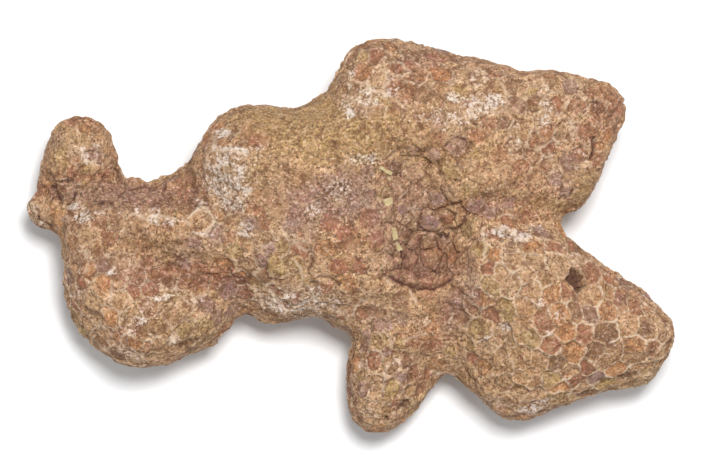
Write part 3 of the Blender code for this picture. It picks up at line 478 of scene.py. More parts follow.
# Where the walls between the corallites show pale, where the fillings stand as domes with
# dark outlines, where sand covers them, and where the stone breaks in plates or shows layers:
# x, y, reach x, reach y, turn in degrees, strength
zones = {
    "walls": [
        (570, 330, 115, 90, 30, 1.0), (385, 375, 36, 50, 0, 0.45), (110, 310, 60, 70, 0, 0.65),
        (190, 310, 40, 50, 0, 0.35), (380, 80, 50, 40, 0, 0.6), (460, 95, 60, 34, 0, 0.45),
        (555, 130, 60, 50, 0, 0.5), (225, 180, 30, 60, 0, 0.4), (280, 275, 50, 40, 0, 0.6),
        (200, 222, 18, 16, 0, 0.7), (100, 235, 50, 34, 0, 0.3), (85, 150, 24, 30, 0, 0.3),
        (360, 310, 30, 20, 0, 0.5),
    ],
    "domes": [
        (425, 210, 62, 92, 0, 1.0), (360, 205, 24, 34, 0, 0.6), (315, 270, 30, 26, 0, 0.45),
        (280, 262, 30, 18, 0, 0.4), (525, 215, 20, 10, 0, 0.5),
    ],
    "sand": [
        (320, 130, 110, 44, 5, 1.0), (270, 165, 60, 40, 0, 0.9), (230, 180, 40, 60, 0, 0.6),
        (470, 130, 90, 50, 10, 0.6), (130, 230, 80, 30, 0, 0.7), (75, 140, 30, 30, 0, 0.6),
        (540, 180, 50, 50, 0, 0.4), (330, 320, 70, 40, 0, 0.5), (500, 395, 60, 24, 0, 0.7),
        (440, 330, 40, 60, 0, 0.3), (400, 425, 60, 16, 0, 0.5), (180, 330, 40, 30, 0, 0.5),
    ],
    "plates": [
        (130, 194, 76, 17, 4, 1.0), (75, 180, 36, 18, 0, 0.9), (52, 185, 14, 26, 0, 0.8),
        (200, 275, 48, 15, 3, 0.8), (108, 160, 12, 26, 0, 0.6), (80, 122, 26, 9, 0, 0.5),
        (440, 180, 14, 16, 0, 0.3), (425, 268, 40, 20, 0, 0.5), (600, 120, 26, 34, 0, 0.5),
        (410, 62, 60, 18, 8, 0.45), (455, 300, 18, 34, 15, 0.5), (42, 212, 20, 18, 0, 0.6),
        (400, 405, 26, 18, 0, 0.5), (345, 240, 26, 14, 0, 0.4), (500, 215, 44, 12, 5, 0.5),
        (250, 300, 20, 16, 0, 0.6), (300, 306, 50, 12, 5, 0.6), (195, 338, 40, 12, -10, 0.5),
        (620, 290, 50, 10, 38, 0.5), (655, 330, 16, 40, 0, 0.35),
    ],
    "strata": [
        (130, 196, 80, 22, 4, 0.4), (580, 190, 22, 34, 25, 0.8), (430, 388, 30, 22, -45, 0.8),
        (45, 165, 12, 36, 5, 0.35), (480, 62, 110, 12, 8, 0.5), (640, 378, 50, 12, -25, 0.6),
        (240, 300, 40, 20, 0, 0.3),
    ],
}


turned = np.array([[0.36, 0.48, -0.80], [-0.80, 0.60, 0.0], [0.48, 0.64, 0.60]])   # noise off the axes


def latticeValue(x, y, z, seed):      # a chance value from 0 to 1 for each corner, by stirred whole numbers
    mixed = (x * 374761393 + y * 668265263 + z * 1442695041 + seed * 974634777) & 0xFFFFFFFF
    mixed = ((mixed ^ (mixed >> 13)) * 1274126177) & 0xFFFFFFFF
    mixed = ((mixed ^ (mixed >> 15)) * 2246822519) & 0xFFFFFFFF
    return ((mixed ^ (mixed >> 16)) & 0xFFFF) / 65535.0


def noiseAt(places, size, seed):      # smooth, from -1 to 1, lumps of about that size in mm
    scaled = (places @ turned.T) / size + seed * 7.31
    corner = np.floor(scaled).astype(np.int64)
    part = scaled - corner
    ease = part * part * part * (part * (part * 6 - 15) + 10)
    total = np.zeros(len(places))
    for dx in (0, 1):
        for dy in (0, 1):
            for dz in (0, 1):
                weight = np.abs(1 - dx - ease[:, 0]) * np.abs(1 - dy - ease[:, 1])
                weight = weight * np.abs(1 - dz - ease[:, 2])
                value = latticeValue(corner[:, 0] + dx, corner[:, 1] + dy, corner[:, 2] + dz, seed)
                total += weight * value
    return total * 2 - 1


def roughNoise(places, size, seed):   # three sizes of noise, each finer and lower
    total = np.zeros(len(places))
    height = 1.0
    for finer in range(3):
        total += height * noiseAt(places, size / 2 ** finer, seed + finer)
        height *= 0.55
    return total / 1.6


def ramp(values, start, end):         # 0 at start, 1 at end, smooth between
    share = np.clip((values - start) / (end - start), 0.0, 1.0)
    return share * share * (3 - 2 * share)


def bell(values, width):              # 1 at 0, falling off on both sides
    return np.exp(-(values / width) ** 2)


def seenAt(places):                   # photograph pixels of points given in mm
    deep = cameraPlace.z / mm - places[:, 2]
    across = photo["width"] / 2 + (places[:, 0] - cameraPlace.x / mm) * focalPixels / deep
    down = photo["height"] / 2 - (places[:, 1] - cameraPlace.y / mm) * focalPixels / deep
    return across, down


def ellipseShare(seen, patch, ragged):
    x, y, reachX, reachY, turn, strength = patch
    sideways, down = seen[0] - x, seen[1] - y
    cosine, sine = math.cos(math.radians(turn)), math.sin(math.radians(turn))
    along = (sideways * cosine + down * sine) / reachX
    across = (down * cosine - sideways * sine) / reachY
    return strength * ramp(np.sqrt(along ** 2 + across ** 2) + ragged, 1.35, 0.55)


def runDistance(seen, run):           # pixels from each point to a run of straight bits
    nearest = np.full(len(seen[0]), 1e9)
    for (ax, ay), (bx, by) in zip(run, run[1:]):
        length = (bx - ax) ** 2 + (by - ay) ** 2
        along = np.clip(((seen[0] - ax) * (bx - ax) + (seen[1] - ay) * (by - ay)) / length, 0, 1)
        offX = seen[0] - ax - along * (bx - ax)
        offY = seen[1] - ay - along * (by - ay)
        nearest = np.minimum(nearest, np.hypot(offX, offY))
    return nearest


# The bare skin: a copy of the frame's parts, grown together and smoothed.
skinLook = {
    "merge": 0.01 * mm,
    "voxel": 0.225 * mm,         # grain of the skin
    "quickVoxel": 0.36 * mm,
    "swell": 0.3 * mm,           # bridges the gaps at the forks while the skin is made
    "smoothRounds": 36,
    "quickRounds": 16,
    "cupDepth": 0.08,            # mm, from which a sunk point is the floor of a cup
    "cupSpread": 1.9,            # mm, closest that two cups of the frame are taken
}


def selectOnly(thing):
    bpy.ops.object.select_all(action="DESELECT")
    thing.select_set(True)
    bpy.context.view_layer.objects.active = thing


def applyModifier(thing, kind, **settings):
    modifier = thing.modifiers.new(kind.lower(), kind)
    for key, value in settings.items():
        setattr(modifier, key, value)
    selectOnly(thing)
    bpy.ops.object.modifier_apply(modifier=modifier.name)


def copyOfFrame():
    bpy.ops.object.select_all(action="DESELECT")
    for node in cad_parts.values():
        node.select_set(True)
    bpy.context.view_layer.objects.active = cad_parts["trunk"]
    bpy.ops.object.duplicate()
    bpy.ops.object.join()
    skin = bpy.context.object
    skin.name = "skin"
    skin.parent = None
    for key in list(skin.keys()):
        del skin[key]
    skin.data.materials.clear()
    bpy.ops.object.mode_set(mode="EDIT")
    bpy.ops.mesh.select_all(action="SELECT")
    bpy.ops.mesh.remove_doubles(threshold=skinLook["merge"])
    bpy.ops.object.mode_set(mode="OBJECT")
    return skin


def vertexPlaces(thing, what="co"):
    values = np.empty(len(thing.data.vertices) * 3, np.float32)
    thing.data.vertices.foreach_get(what, values)
    return values.reshape(-1, 3).astype(np.float64)


def frameCups(skin):                  # the sunk floors of the frame's cups, in mm, deepest first
    places = vertexPlaces(skin) / mm
    normals = vertexPlaces(skin, "normal")
    edges = np.empty(len(skin.data.edges) * 2, np.int64)
    skin.data.edges.foreach_get("vertices", edges)
    edges = edges.reshape(-1, 2)
    total = np.zeros_like(places)
    count = np.zeros(len(places))
    for near, far in ((0, 1), (1, 0)):
        np.add.at(total, edges[:, near], places[edges[:, far]])
        np.add.at(count, edges[:, near], 1)
    depth = np.einsum("ij,ij->i", total / count[:, None] - places, normals)
    taken = []
    for index in np.argsort(-depth):
        if depth[index] < skinLook["cupDepth"]:
            break
        away = np.linalg.norm(places[taken] - places[index], axis=1)
        if not taken or np.min(away) > skinLook["cupSpread"]:
            taken.append(index)
    return places[taken]


def makeSkin():
    skin = copyOfFrame()
    cups = frameCups(skin)
    voxel = skinLook["voxel"]
    rounds = skinLook["smoothRounds"]
    applyModifier(skin, "DISPLACE", strength=skinLook["swell"], mid_level=0.0)
    applyModifier(skin, "REMESH", mode="VOXEL", voxel_size=voxel)
    applyModifier(skin, "SMOOTH", factor=0.5, iterations=rounds)
    applyModifier(skin, "DISPLACE", strength=-skinLook["swell"], mid_level=0.0)
    return skin, cups


skin, cups = makeSkin()
places = vertexPlaces(skin) / mm
normals = vertexPlaces(skin, "normal")
skinFaces = [tuple(face.vertices) for face in skin.data.polygons]
print("skin:", len(places), "points,", len(cups), "cups in the frame")


# The corallites: those seen in the photograph, then the frame's cups, then new ones in the gaps.
cellLook = {
    "cupShare": 0.72,            # how far a cup keeps from a seen cell, of their radii
    "gapSpread": 2.35,           # mm, bare skin further than this from a cell gets a new one
    "gapTries": 20000,
    "freeRadius": 1.5,           # mm
    "waver": [(1.7, 0.34, 21), (0.75, 0.16, 22)],    # size and reach in mm, and seed
    "finishes": [("ochre", 34), ("tan", 16), ("rust", 17), ("olive", 10), ("plum", 8), ("umber", 6),
                 ("orange", 9)],
}


def lineOfSight(x, y):                # the camera's way through a pixel
    return Vector((x - photo["width"] / 2, photo["height"] / 2 - y, -focalPixels)).normalized()


def gatherCells():                    # rows of x, y, z and radius in mm, and the finish
    tree = BVHTree.FromPolygons(places.tolist(), skinFaces)
    rows = []
    for piece in pieces:
        for x, y, radius, finish in piece["cells"]:
            place = tree.ray_cast(cameraPlace / mm, lineOfSight(x, y))[0]
            if place is not None:
                rows.append((*place, radius * photo["pixel"] / mm, finish))
    dice = np.random.default_rng(5)
    names = [name for name, _ in cellLook["finishes"]]
    shares = np.array([share for _, share in cellLook["finishes"]], float)
    shown = np.array([row[:4] for row in rows])
    free = cellLook["freeRadius"]
    for cup in cups:
        away = np.linalg.norm(shown[:, :3] - cup, axis=1)
        if np.all(away > cellLook["cupShare"] * (shown[:, 3] + free)):
            rows.append((*cup, free, dice.choice(names, p=shares / shares.sum())))
    middles = np.array([row[:3] for row in rows])
    for index in dice.permutation(len(places))[:cellLook["gapTries"]]:
        if np.min(np.linalg.norm(middles - places[index], axis=1)) > cellLook["gapSpread"]:
            rows.append((*places[index], free, dice.choice(names, p=shares / shares.sum())))
            middles = np.vstack([middles, places[index]])
    return rows


# Which cell each point belongs to, and how far it is from that cell's border. The points go
# through in steps, and each is held against its nearest six cells.
def nearestCells(points, keep=6, step=3000):
    owner = np.empty(len(points), np.int64)
    border = np.empty(len(points))
    for start in range(0, len(points), step):
        part = points[start:start + step]
        power = (part ** 2).sum(1)[:, None] - 2 * part @ cellSpots.T
        power = power + (cellSpots ** 2).sum(1)[None] - cellRadii[None] ** 2
        near = np.argpartition(power, keep, axis=1)[:, :keep]
        values = np.take_along_axis(power, near, axis=1)
        order = np.argsort(values, axis=1)
        near = np.take_along_axis(near, order, axis=1)
        values = np.take_along_axis(values, order, axis=1)
        own = near[:, 0]
        gaps = np.linalg.norm(cellSpots[near[:, 1:]] - cellSpots[own][:, None], axis=2)
        border[start:start + step] = ((values[:, 1:] - values[:, :1]) / (2 * gaps)).min(1)
        owner[start:start + step] = own
    return owner, border


cells = gatherCells()
cellSpots = np.array([row[:3] for row in cells])
cellRadii = np.array([row[3] for row in cells])
wavering = places.copy()
for size, reach, seed in cellLook["waver"]:
    for axis in range(3):
        wavering[:, axis] += reach * noiseAt(places, size, seed + 10 * axis)
owner, border = nearestCells(wavering)
cellDice = np.random.default_rng(9)
cellLevel = cellDice.uniform(-1, 1, len(cells))[owner]
cellTone = cellDice.uniform(-1, 1, len(cells))[owner]
cellFinish = np.array([row[4] for row in cells])[owner]
outward = np.linalg.norm(wavering - cellSpots[owner], axis=1) / cellRadii[owner]
print("corallites:", len(cells))


# What the photograph shows is laid on the upper side, and the rest gets the same by chance.
grainSizes = {                   # size in mm, and seed
    "edge": (1.3, 31),
    "edgeFine": (0.45, 36),
    "crumb": (1.1, 33),
    "crumbFine": (0.4, 39),
    "jitter": (0.8, 61),
    "jitterFine": (0.35, 62),
    "jitterDown": (0.8, 63),
    "sand": (0.55, 71),
    "stone": (0.4, 75),
    "leafBend": (2.2, 81),
    "leafBreak": (1.7, 83),
    "plate": (1.1, 85),
    "plateFine": (0.55, 86),
    "pit": (0.75, 91),
    "domeBreak": (1.6, 95),
    "wallBreak": (1.5, 97),
    "wallBreakFine": (0.7, 98),
    "rimBreak": (1.3, 99),
    "straw": (0.7, 101),
}
finishNames = ["rust", "plum", "olive", "umber", "orange", "tan"]
zoneNames = ["walls", "domes", "sand", "strata", "plates"]
chanceSize = 7.0                 # mm, of the stains and zones that the photograph doesn't show


def grainAt(places, name):
    return noiseAt(places, *grainSizes[name])


seen = seenAt(places)
upper = ramp(normals[:, 2], 0.0, 0.35)
ragged = 0.34 * roughNoise(places, *grainSizes["edge"]) + 0.16 * grainAt(places, "edgeFine")
chance = {}
for index, name in enumerate(["chalk"] + zoneNames + finishNames):
    chance[name] = roughNoise(places, chanceSize, 40 + 5 * index)


def zoneShare(name, elsewhere):
    total = np.zeros(len(places))
    for patch in zones[name]:
        total = np.maximum(total, ellipseShare(seen, patch, 0.5 * ragged))
    return np.clip(upper * total + (1 - upper) * elsewhere, 0, 1)


walls = zoneShare("walls", ramp(chance["walls"], -0.35, 0.25))
domes = zoneShare("domes", 0.4 * ramp(chance["domes"], 0.2, 0.5))
sand = zoneShare("sand", ramp(chance["sand"], 0.0, 0.4))
strata = zoneShare("strata", 0.6 * ramp(chance["strata"], 0.2, 0.5))
plates = zoneShare("plates", 0.7 * ramp(chance["plates"], 0.1, 0.4))

# A filling reaches to its walls where they show, and elsewhere it is a round disc of its own
# with a sunk outline and a pale rim. Sand hides the cells that the photograph doesn't show.
isShown = owner < sum(len(piece["cells"]) for piece in pieces)
disc = ramp(outward, 1.04, 0.82) * ramp(border, 0.02, 0.2)
inside = np.maximum(ramp(border, 0.10, 0.34) * ramp(walls, 0.3, 0.8), disc)
apart = (1 - ramp(walls, 0.5, 0.9)) * (1 - domes) * ramp(walls, 0.05, 0.4)
apart *= np.where(isShown, 1.0, 1 - 0.9 * sand)
rim = bell(outward - 1.06, 0.11) * apart
outline = bell(outward - 0.90, 0.09) * apart
covered = np.where(isShown, 0.4, 0.95) * sand

finish = {}
for name in finishNames + ["chalk"]:
    total = np.zeros(len(places))
    for piece in pieces:
        for patch in piece["patches"].get(name, []):
            total = np.maximum(total, ellipseShare(seen, patch, ragged))
    finish[name] = upper * total + (1 - upper) * 0.55 * ramp(chance[name], 0.18, 0.5)
crumbs = ramp(roughNoise(places, *grainSizes["crumb"]) + 0.6 * grainAt(places, "crumbFine"), -0.5, 0.5)
finish["chalk"] *= 0.45 + 0.55 * crumbs
for name in finishNames:
    own = (cellFinish == name) * inside * (1 - covered) * (0.88 + 0.2 * cellTone)
    finish[name] = np.maximum(finish[name], own)

cracks = np.zeros(len(places))
crackDepth = np.zeros(len(places))
veins = np.zeros(len(places))
jitter = 1.6 * grainAt(places, "jitter") + 0.8 * grainAt(places, "jitterFine")
jitterSeen = (seen[0] + jitter, seen[1] + 1.6 * grainAt(places, "jitterDown"))
for piece in pieces:
    for width, depth, run in piece["cracks"]:
        near = bell(runDistance(jitterSeen, run), 1.5 * width) * upper
        cracks = np.maximum(cracks, near * min(1.0, 0.25 + 2.2 * depth))
        crackDepth = np.maximum(crackDepth, near * depth)
    for width, strength, run in piece["veins"]:
        near = strength * bell(runDistance(jitterSeen, run), 1.5 * width) * upper
        veins = np.maximum(veins, near)
print("finishes laid out")


# Relief, in mm outwards along the skin.
reliefLook = {
    "lumps": [(5.0, 0.20, 11), (2.1, 0.15, 12), (1.05, 0.12, 13), (0.6, 0.07, 14)],   # size, height, seed
    "wallHeight": 0.15,
    "wallWidth": 0.17,
    "dish": 0.10,                # how far a filling lies under its walls
    "fillLevel": 0.10,           # fillings stand at different levels
    "domeHeight": 0.42,
    "domeRound": 0.5,
    "domeCrack": 0.30,
    "domeCrackWidth": 0.14,
    "discHeight": 0.10,
    "outlineDepth": 0.12,
    "rimHeight": 0.06,
    "sandHeight": 0.10,
    "grainHeight": 0.035,
    "leafHeight": 0.09,
    "plateHeight": 0.75,
    "plateLevel": 0.3,
    "crackDepth": 1.2,
    "holeDepth": 1.5,
    "pitDepth": 0.16,
    "flatUpTo": 0.05,            # above the floor, where the skin keeps to its flats
    "fullFrom": 0.9,             # above the floor, where the relief has its full height
    "margin": 0.01,              # kept inside the frame's box
}
plateGrain = np.array([[0.36, -0.80, 0.3], [0.93, 0.45, 0.2], [0.2, 0.3, 1.1]])   # turns the plates
plateStretch = [0.42, 1.0, 1.0]

relief = np.zeros(len(places))
lumps = []
for size, height, seed in reliefLook["lumps"]:
    lumps.append(noiseAt(places, size, seed))
    relief += height * lumps[-1]
fill = ramp(border, 0.05, 0.5)
relief += reliefLook["wallHeight"] * walls * bell(border, reliefLook["wallWidth"]) * (1 - domes)
relief -= reliefLook["dish"] * walls * fill * (1 - domes)
relief += reliefLook["fillLevel"] * cellLevel * fill * (1 - 0.6 * sand)
dome = 1 - np.exp(-border / reliefLook["domeRound"])
relief += domes * reliefLook["domeHeight"] * dome * (0.75 + 0.4 * cellLevel)
relief -= domes * reliefLook["domeCrack"] * bell(border, reliefLook["domeCrackWidth"])
discRelief = reliefLook["discHeight"] * ramp(outward, 0.95, 0.6)
relief += apart * (discRelief - reliefLook["outlineDepth"] * outline + reliefLook["rimHeight"] * rim)
sandGrain = roughNoise(places, *grainSizes["sand"])
stoneGrain = grainAt(places, "stone")
relief += reliefLook["sandHeight"] * sand * sandGrain + reliefLook["grainHeight"] * (1 - sand) * stoneGrain
leaf = np.sin(places[:, 1] * 5.2 + places[:, 2] * 4.0 + 3.4 * grainAt(places, "leafBend"))
leaf *= ramp(grainAt(places, "leafBreak"), -0.7, 0.3)
relief += reliefLook["leafHeight"] * strata * leaf
slant = places @ plateGrain * plateStretch
platy = np.abs(grainAt(slant, "plate")) + 0.5 * np.abs(grainAt(slant, "plateFine"))
relief += plates * reliefLook["plateHeight"] * (platy - reliefLook["plateLevel"])
relief -= crackDepth * reliefLook["crackDepth"]
holes = np.zeros(len(places))
for row in range(len(cells)):
    if cells[row][4] == "hole":
        holes = np.maximum(holes, (owner == row) * ramp(border, 0.05, 0.45))
relief -= reliefLook["holeDepth"] * holes
for piece in pieces:
    for lift in piece["lifts"]:
        relief += ellipseShare(seen, lift, 0.0) * upper
pits = ramp(grainAt(places, "pit"), 0.62, 0.85) * (0.4 + 0.6 * sand)
relief -= reliefLook["pitDepth"] * pits

standing = ramp(places[:, 2], reliefLook["flatUpTo"], reliefLook["fullFrom"])
moved = places + normals * (relief * standing)[:, None]
margin = reliefLook["margin"]
moved[:, 0] = np.clip(moved[:, 0], cadLow.x / mm + margin, cadHigh.x / mm - margin)
moved[:, 1] = np.clip(moved[:, 1], cadLow.y / mm + margin, cadHigh.y / mm - margin)
moved[:, 2] = np.clip(moved[:, 2], 0.0, cadHigh.z / mm - margin)
skin.data.vertices.foreach_set("co", (moved * mm).astype(np.float32).ravel())
skin.data.update()


# What the finish needs at each point is kept on the skin and comes along when it is parted.
domeLine = domes * bell(border, 0.13) * ramp(grainAt(places, "domeBreak"), -0.5, 0.2)
plateEdge = ramp(platy, 0.12, 0.0)
cracks = np.maximum(np.maximum(cracks, 0.6 * domeLine), 0.75 * plates * plateEdge)
wallBreak = grainAt(places, "wallBreak") + 0.5 * grainAt(places, "wallBreakFine")
filled = np.maximum(np.maximum(domes, 0.8 * walls), 0.85 * disc)
# Painted shade and painted highlight by the small relief: low is high in the small hollows of the lumps and
# grain, where the finish paints the stone darker, and negative on their rises, where it paints it paler.
# The sunk outlines of the discs are added to it and darkened with it.
low = -lumps[2] - 0.8 * lumps[3] - 0.5 * stoneGrain
storedValues = {
    "border": border,
    "wallShow": walls * (1 - domes) * (0.15 + 0.85 * ramp(wallBreak, -0.35, 0.25)),
    "rim": rim * ramp(grainAt(places, "rimBreak"), -0.5, 0.2),
    "cellTone": cellTone * inside,
    "crack": np.maximum(cracks, holes * 0.9),
    "vein": veins,
    "sand": sand,
    # painted shade in the pits and between the sand grains, and painted highlight on the tops of the sand
    # grains
    "paintedPitShadeAndGrainLight": np.clip(-(0.9 * sandGrain * sand + pits * 2.2), -1, 2),
    # painted shade in the grooves between the layers and in the low ground between the plates
    "leaf": np.minimum(strata * leaf, -0.9 * plates * ramp(platy, 0.30, 0.08)),
    "filling": inside * filled * (1 - 0.3 * sand),
    # low carries the painted shade in the small hollows and the painted highlight on the small rises
    "low": low + 1.1 * outline,
    **finish,
    "onSkin": np.ones(len(places)),
}
for name, values in storedValues.items():
    skin.data.attributes.new(name, "FLOAT", "POINT")
    skin.data.attributes[name].data.foreach_set("value", values.astype(np.float32))
print("relief done")


# The finish: shader groups shared by all six parts.
stoneLook = {
    "ochre": (0.350, 0.188, 0.086),
    "pale": (0.540, 0.335, 0.190),
    "brown": (0.170, 0.074, 0.036),
    "rust": (0.285, 0.098, 0.056),
    "orange": (0.455, 0.195, 0.075),
    "plum": (0.255, 0.150, 0.142),
    "olive": (0.360, 0.240, 0.088),
    "umber": (0.135, 0.060, 0.033),
    "tan": (0.455, 0.285, 0.165),
    "wall": (0.700, 0.520, 0.370),
    "chalk": (0.800, 0.690, 0.605),
    "crack": (0.070, 0.024, 0.018),
    "stains": [                  # strength of each, laid on in this order
        ("tan", 0.7), ("olive", 0.75), ("orange", 0.8), ("rust", 0.85), ("plum", 0.85), ("umber", 0.7),
    ],
    # painted shade in the hollows and painted highlight on the rises, by the relief:
    "paintedReliefShading": [                  # stored value, where it starts and is full, strength, colour
        ("low", 0.1, 1.3, 0.7, "brown"), ("low", -0.3, -1.4, 0.45, "pale"),
        ("paintedPitShadeAndGrainLight", 0.15, 1.2, 0.75, "umber"), ("paintedPitShadeAndGrainLight", -0.15, -0.7, 0.4, "pale"),
        ("leaf", -0.2, -0.9, 0.5, "umber"),
    ],
    "darkFleck": 0.95,
    "paleFleck": 0.75,
    "speckle": 2.4,              # how much lighter and darker single grains are
    "chalkMost": 0.8,
    "crackMost": 0.92,
    "roughness": (0.78, 0.95),
    "specular": 0.25,
    "bump": 0.8,
    "bumpReach": 0.15 * mm,
}
grainLook = {                    # how many to a metre
    "cloud": 330.0,
    "soft": 2100.0,
    "coarse": 2300.0,
    "fine": 4300.0,
    "dark": 2700.0,
    "pale": 2400.0,
}
grainLabels = ("Cloud", "Grain", "Hue", "Dark Fleck", "Pale Fleck")


def addNode(tree, kind, **settings):
    node = tree.nodes.new("ShaderNode" + kind)
    for key, value in settings.items():
        setattr(node, key, value)
    return node


def socketFor(tree, value, target):   # links a socket or sets a plain value
    if isinstance(value, bpy.types.NodeSocket):
        tree.links.new(value, target)
    else:
        target.default_value = value


def mathNode(tree, operation, first, second, clamp=False):
    node = addNode(tree, "Math", operation=operation, use_clamp=clamp)
    socketFor(tree, first, node.inputs[0])
    socketFor(tree, second, node.inputs[1])
    return node.outputs[0]


def times(tree, first, second):
    return mathNode(tree, "MULTIPLY", first, second)


def plus(tree, first, second):
    return mathNode(tree, "ADD", first, second)


def minus(tree, first, second):
    return mathNode(tree, "SUBTRACT", first, second)


def mixColours(tree, factor, first, second):
    node = addNode(tree, "Mix", data_type="RGBA", clamp_factor=True)
    socketFor(tree, factor, node.inputs[0])
    for value, target in ((first, node.inputs[6]), (second, node.inputs[7])):
        if isinstance(value, tuple):
            value = (*value, 1.0)
        socketFor(tree, value, target)
    return node.outputs[2]


def rangeNode(tree, value, start, end, low=0.0, high=1.0):
    node = addNode(tree, "MapRange", interpolation_type="SMOOTHSTEP")
    socketFor(tree, value, node.inputs["Value"])
    node.inputs["From Min"].default_value = start
    node.inputs["From Max"].default_value = end
    node.inputs["To Min"].default_value = low
    node.inputs["To Max"].default_value = high
    return node.outputs["Result"]


def noiseNode(tree, vector, scale, detail, roughness):
    node = addNode(tree, "TexNoise")
    tree.links.new(vector, node.inputs["Vector"])
    node.inputs["Scale"].default_value = scale
    node.inputs["Detail"].default_value = detail
    node.inputs["Roughness"].default_value = roughness
    return node.outputs["Fac"]


def chipNode(tree, vector, scale):    # two chance values for each small grain
    node = addNode(tree, "TexVoronoi")
    tree.links.new(vector, node.inputs["Vector"])
    node.inputs["Scale"].default_value = scale
    split = addNode(tree, "SeparateColor")
    tree.links.new(node.outputs["Color"], split.inputs["Color"])
    return split.outputs["Red"], split.outputs["Green"]


def storedValue(tree, name):
    node = addNode(tree, "Attribute", attribute_type="GEOMETRY", attribute_name=name)
    return node.outputs["Fac"]


def placeGroup(tree, group):
    node = tree.nodes.new("ShaderNodeGroup")
    node.node_tree = group
    return node


def newGroup(name, inputs, outputs):
    group = bpy.data.node_groups.new(name, "ShaderNodeTree")
    for label, kind in inputs:
        group.interface.new_socket(label, in_out="INPUT", socket_type="NodeSocket" + kind)
    for label, kind in outputs:
        group.interface.new_socket(label, in_out="OUTPUT", socket_type="NodeSocket" + kind)
    return group, group.nodes.new("NodeGroupInput"), group.nodes.new("NodeGroupOutput")


def grainGroup():                     # speckle of the stone: grains, dark and pale flecks
    labels = [(label, "Float") for label in grainLabels + ("Height",)]
    group, enter, leave = newGroup("stone grain", [("Vector", "Vector")], labels)
    vector = enter.outputs["Vector"]
    cloud = noiseNode(group, vector, grainLook["cloud"], 6.0, 0.7)
    soft = noiseNode(group, vector, grainLook["soft"], 4.0, 0.8)
    coarse, coarseHue = chipNode(group, vector, grainLook["coarse"])
    fine, fineHue = chipNode(group, vector, grainLook["fine"])
    grain = plus(group, times(group, coarse, 0.3), times(group, fine, 0.35))
    grain = plus(group, grain, times(group, rangeNode(group, soft, 0.36, 0.64), 0.35))
    hue = times(group, plus(group, coarseHue, fineHue), 0.5)
    dark = noiseNode(group, vector, grainLook["dark"], 2.0, 0.75)
    pale = noiseNode(group, vector, grainLook["pale"], 3.0, 0.8)
    group.links.new(rangeNode(group, cloud, 0.37, 0.63), leave.inputs["Cloud"])
    group.links.new(grain, leave.inputs["Grain"])
    group.links.new(hue, leave.inputs["Hue"])
    group.links.new(rangeNode(group, dark, 0.56, 0.64), leave.inputs["Dark Fleck"])
    group.links.new(rangeNode(group, pale, 0.57, 0.66), leave.inputs["Pale Fleck"])
    group.links.new(plus(group, soft, times(group, dark, -0.8)), leave.inputs["Height"])
    return group


# Besides the stone's own colours, this group paints shade and highlight by the relief.
def coralGroup():                     # the fillings, walls, stains, chalk and cracks
    labels = [(label, "Float") for label in grainLabels]
    group, enter, leave = newGroup("weathered coral", labels, [("Color", "Color"), ("Roughness", "Float")])
    cloud, grain, hue = enter.outputs["Cloud"], enter.outputs["Grain"], enter.outputs["Hue"]

    # ochre and pale stone in clouds, fewer where sand lies, and the stains on them
    clouds = times(group, cloud, minus(group, 1.0, times(group, storedValue(group, "sand"), 0.6)))
    colour = mixColours(group, clouds, stoneLook["ochre"], stoneLook["pale"])
    for name, strength in stoneLook["stains"]:
        uneven = plus(group, 0.55, times(group, cloud, 0.3))
        uneven = plus(group, uneven, times(group, grain, 0.5))
        share = times(group, storedValue(group, name), strength)
        share = mathNode(group, "MULTIPLY", share, uneven, clamp=True)
        colour = mixColours(group, share, colour, stoneLook[name])
    colour = mixColours(group, rangeNode(group, hue, 0.62, 0.85, 0.0, 0.5), colour, stoneLook["rust"])
    colour = mixColours(group, rangeNode(group, hue, 0.36, 0.15, 0.0, 0.4), colour, stoneLook["olive"])

    # single grains lighter and darker, less so inside a filling
    calm = minus(group, stoneLook["speckle"], times(group, storedValue(group, "filling"), 1.1))
    speckle = times(group, minus(group, grain, 0.48), calm)
    brightness = times(group, storedValue(group, "cellTone"), 0.12)
    tone = addNode(group, "HueSaturation")
    group.links.new(colour, tone.inputs["Color"])
    group.links.new(plus(group, plus(group, brightness, speckle), 1.0), tone.inputs["Value"])
    colour = tone.outputs["Color"]

    # pale walls and rims
    ragged = times(group, minus(group, grain, 0.5), 0.16)
    wall = rangeNode(group, plus(group, storedValue(group, "border"), ragged), 0.22, 0.07)
    wall = times(group, wall, storedValue(group, "wallShow"))
    wall = times(group, wall, plus(group, 0.7, times(group, grain, 0.6)))
    colour = mixColours(group, wall, colour, stoneLook["wall"])
    rims = times(group, storedValue(group, "rim"), times(group, grain, 1.1))
    colour = mixColours(group, rims, colour, stoneLook["wall"])

    # flecks, and painted shade in the hollows and painted highlight on the rises, by the relief
    dark = times(group, enter.outputs["Dark Fleck"], stoneLook["darkFleck"])
    colour = mixColours(group, dark, colour, stoneLook["brown"])
    pale = times(group, enter.outputs["Pale Fleck"], stoneLook["paleFleck"])
    colour = mixColours(group, pale, colour, stoneLook["wall"])
    for name, start, end, most, target in stoneLook["paintedReliefShading"]:
        share = rangeNode(group, storedValue(group, name), start, end, 0.0, most)
        colour = mixColours(group, share, colour, stoneLook[target])

    # chalk, veins and cracks over all
    chalk = plus(group, storedValue(group, "chalk"), times(group, minus(group, grain, 0.5), 1.3))
    chalk = rangeNode(group, chalk, 0.22, 0.85, 0.0, stoneLook["chalkMost"])
    colour = mixColours(group, chalk, colour, stoneLook["chalk"])
    colour = mixColours(group, storedValue(group, "vein"), colour, stoneLook["wall"])
    crack = times(group, storedValue(group, "crack"), stoneLook["crackMost"])
    colour = mixColours(group, crack, colour, stoneLook["crack"])
    group.links.new(colour, leave.inputs["Color"])
    group.links.new(rangeNode(group, grain, 0.0, 1.0, *stoneLook["roughness"]), leave.inputs["Roughness"])
    return group


stoneGrainGroup, weatheredCoral = grainGroup(), coralGroup()


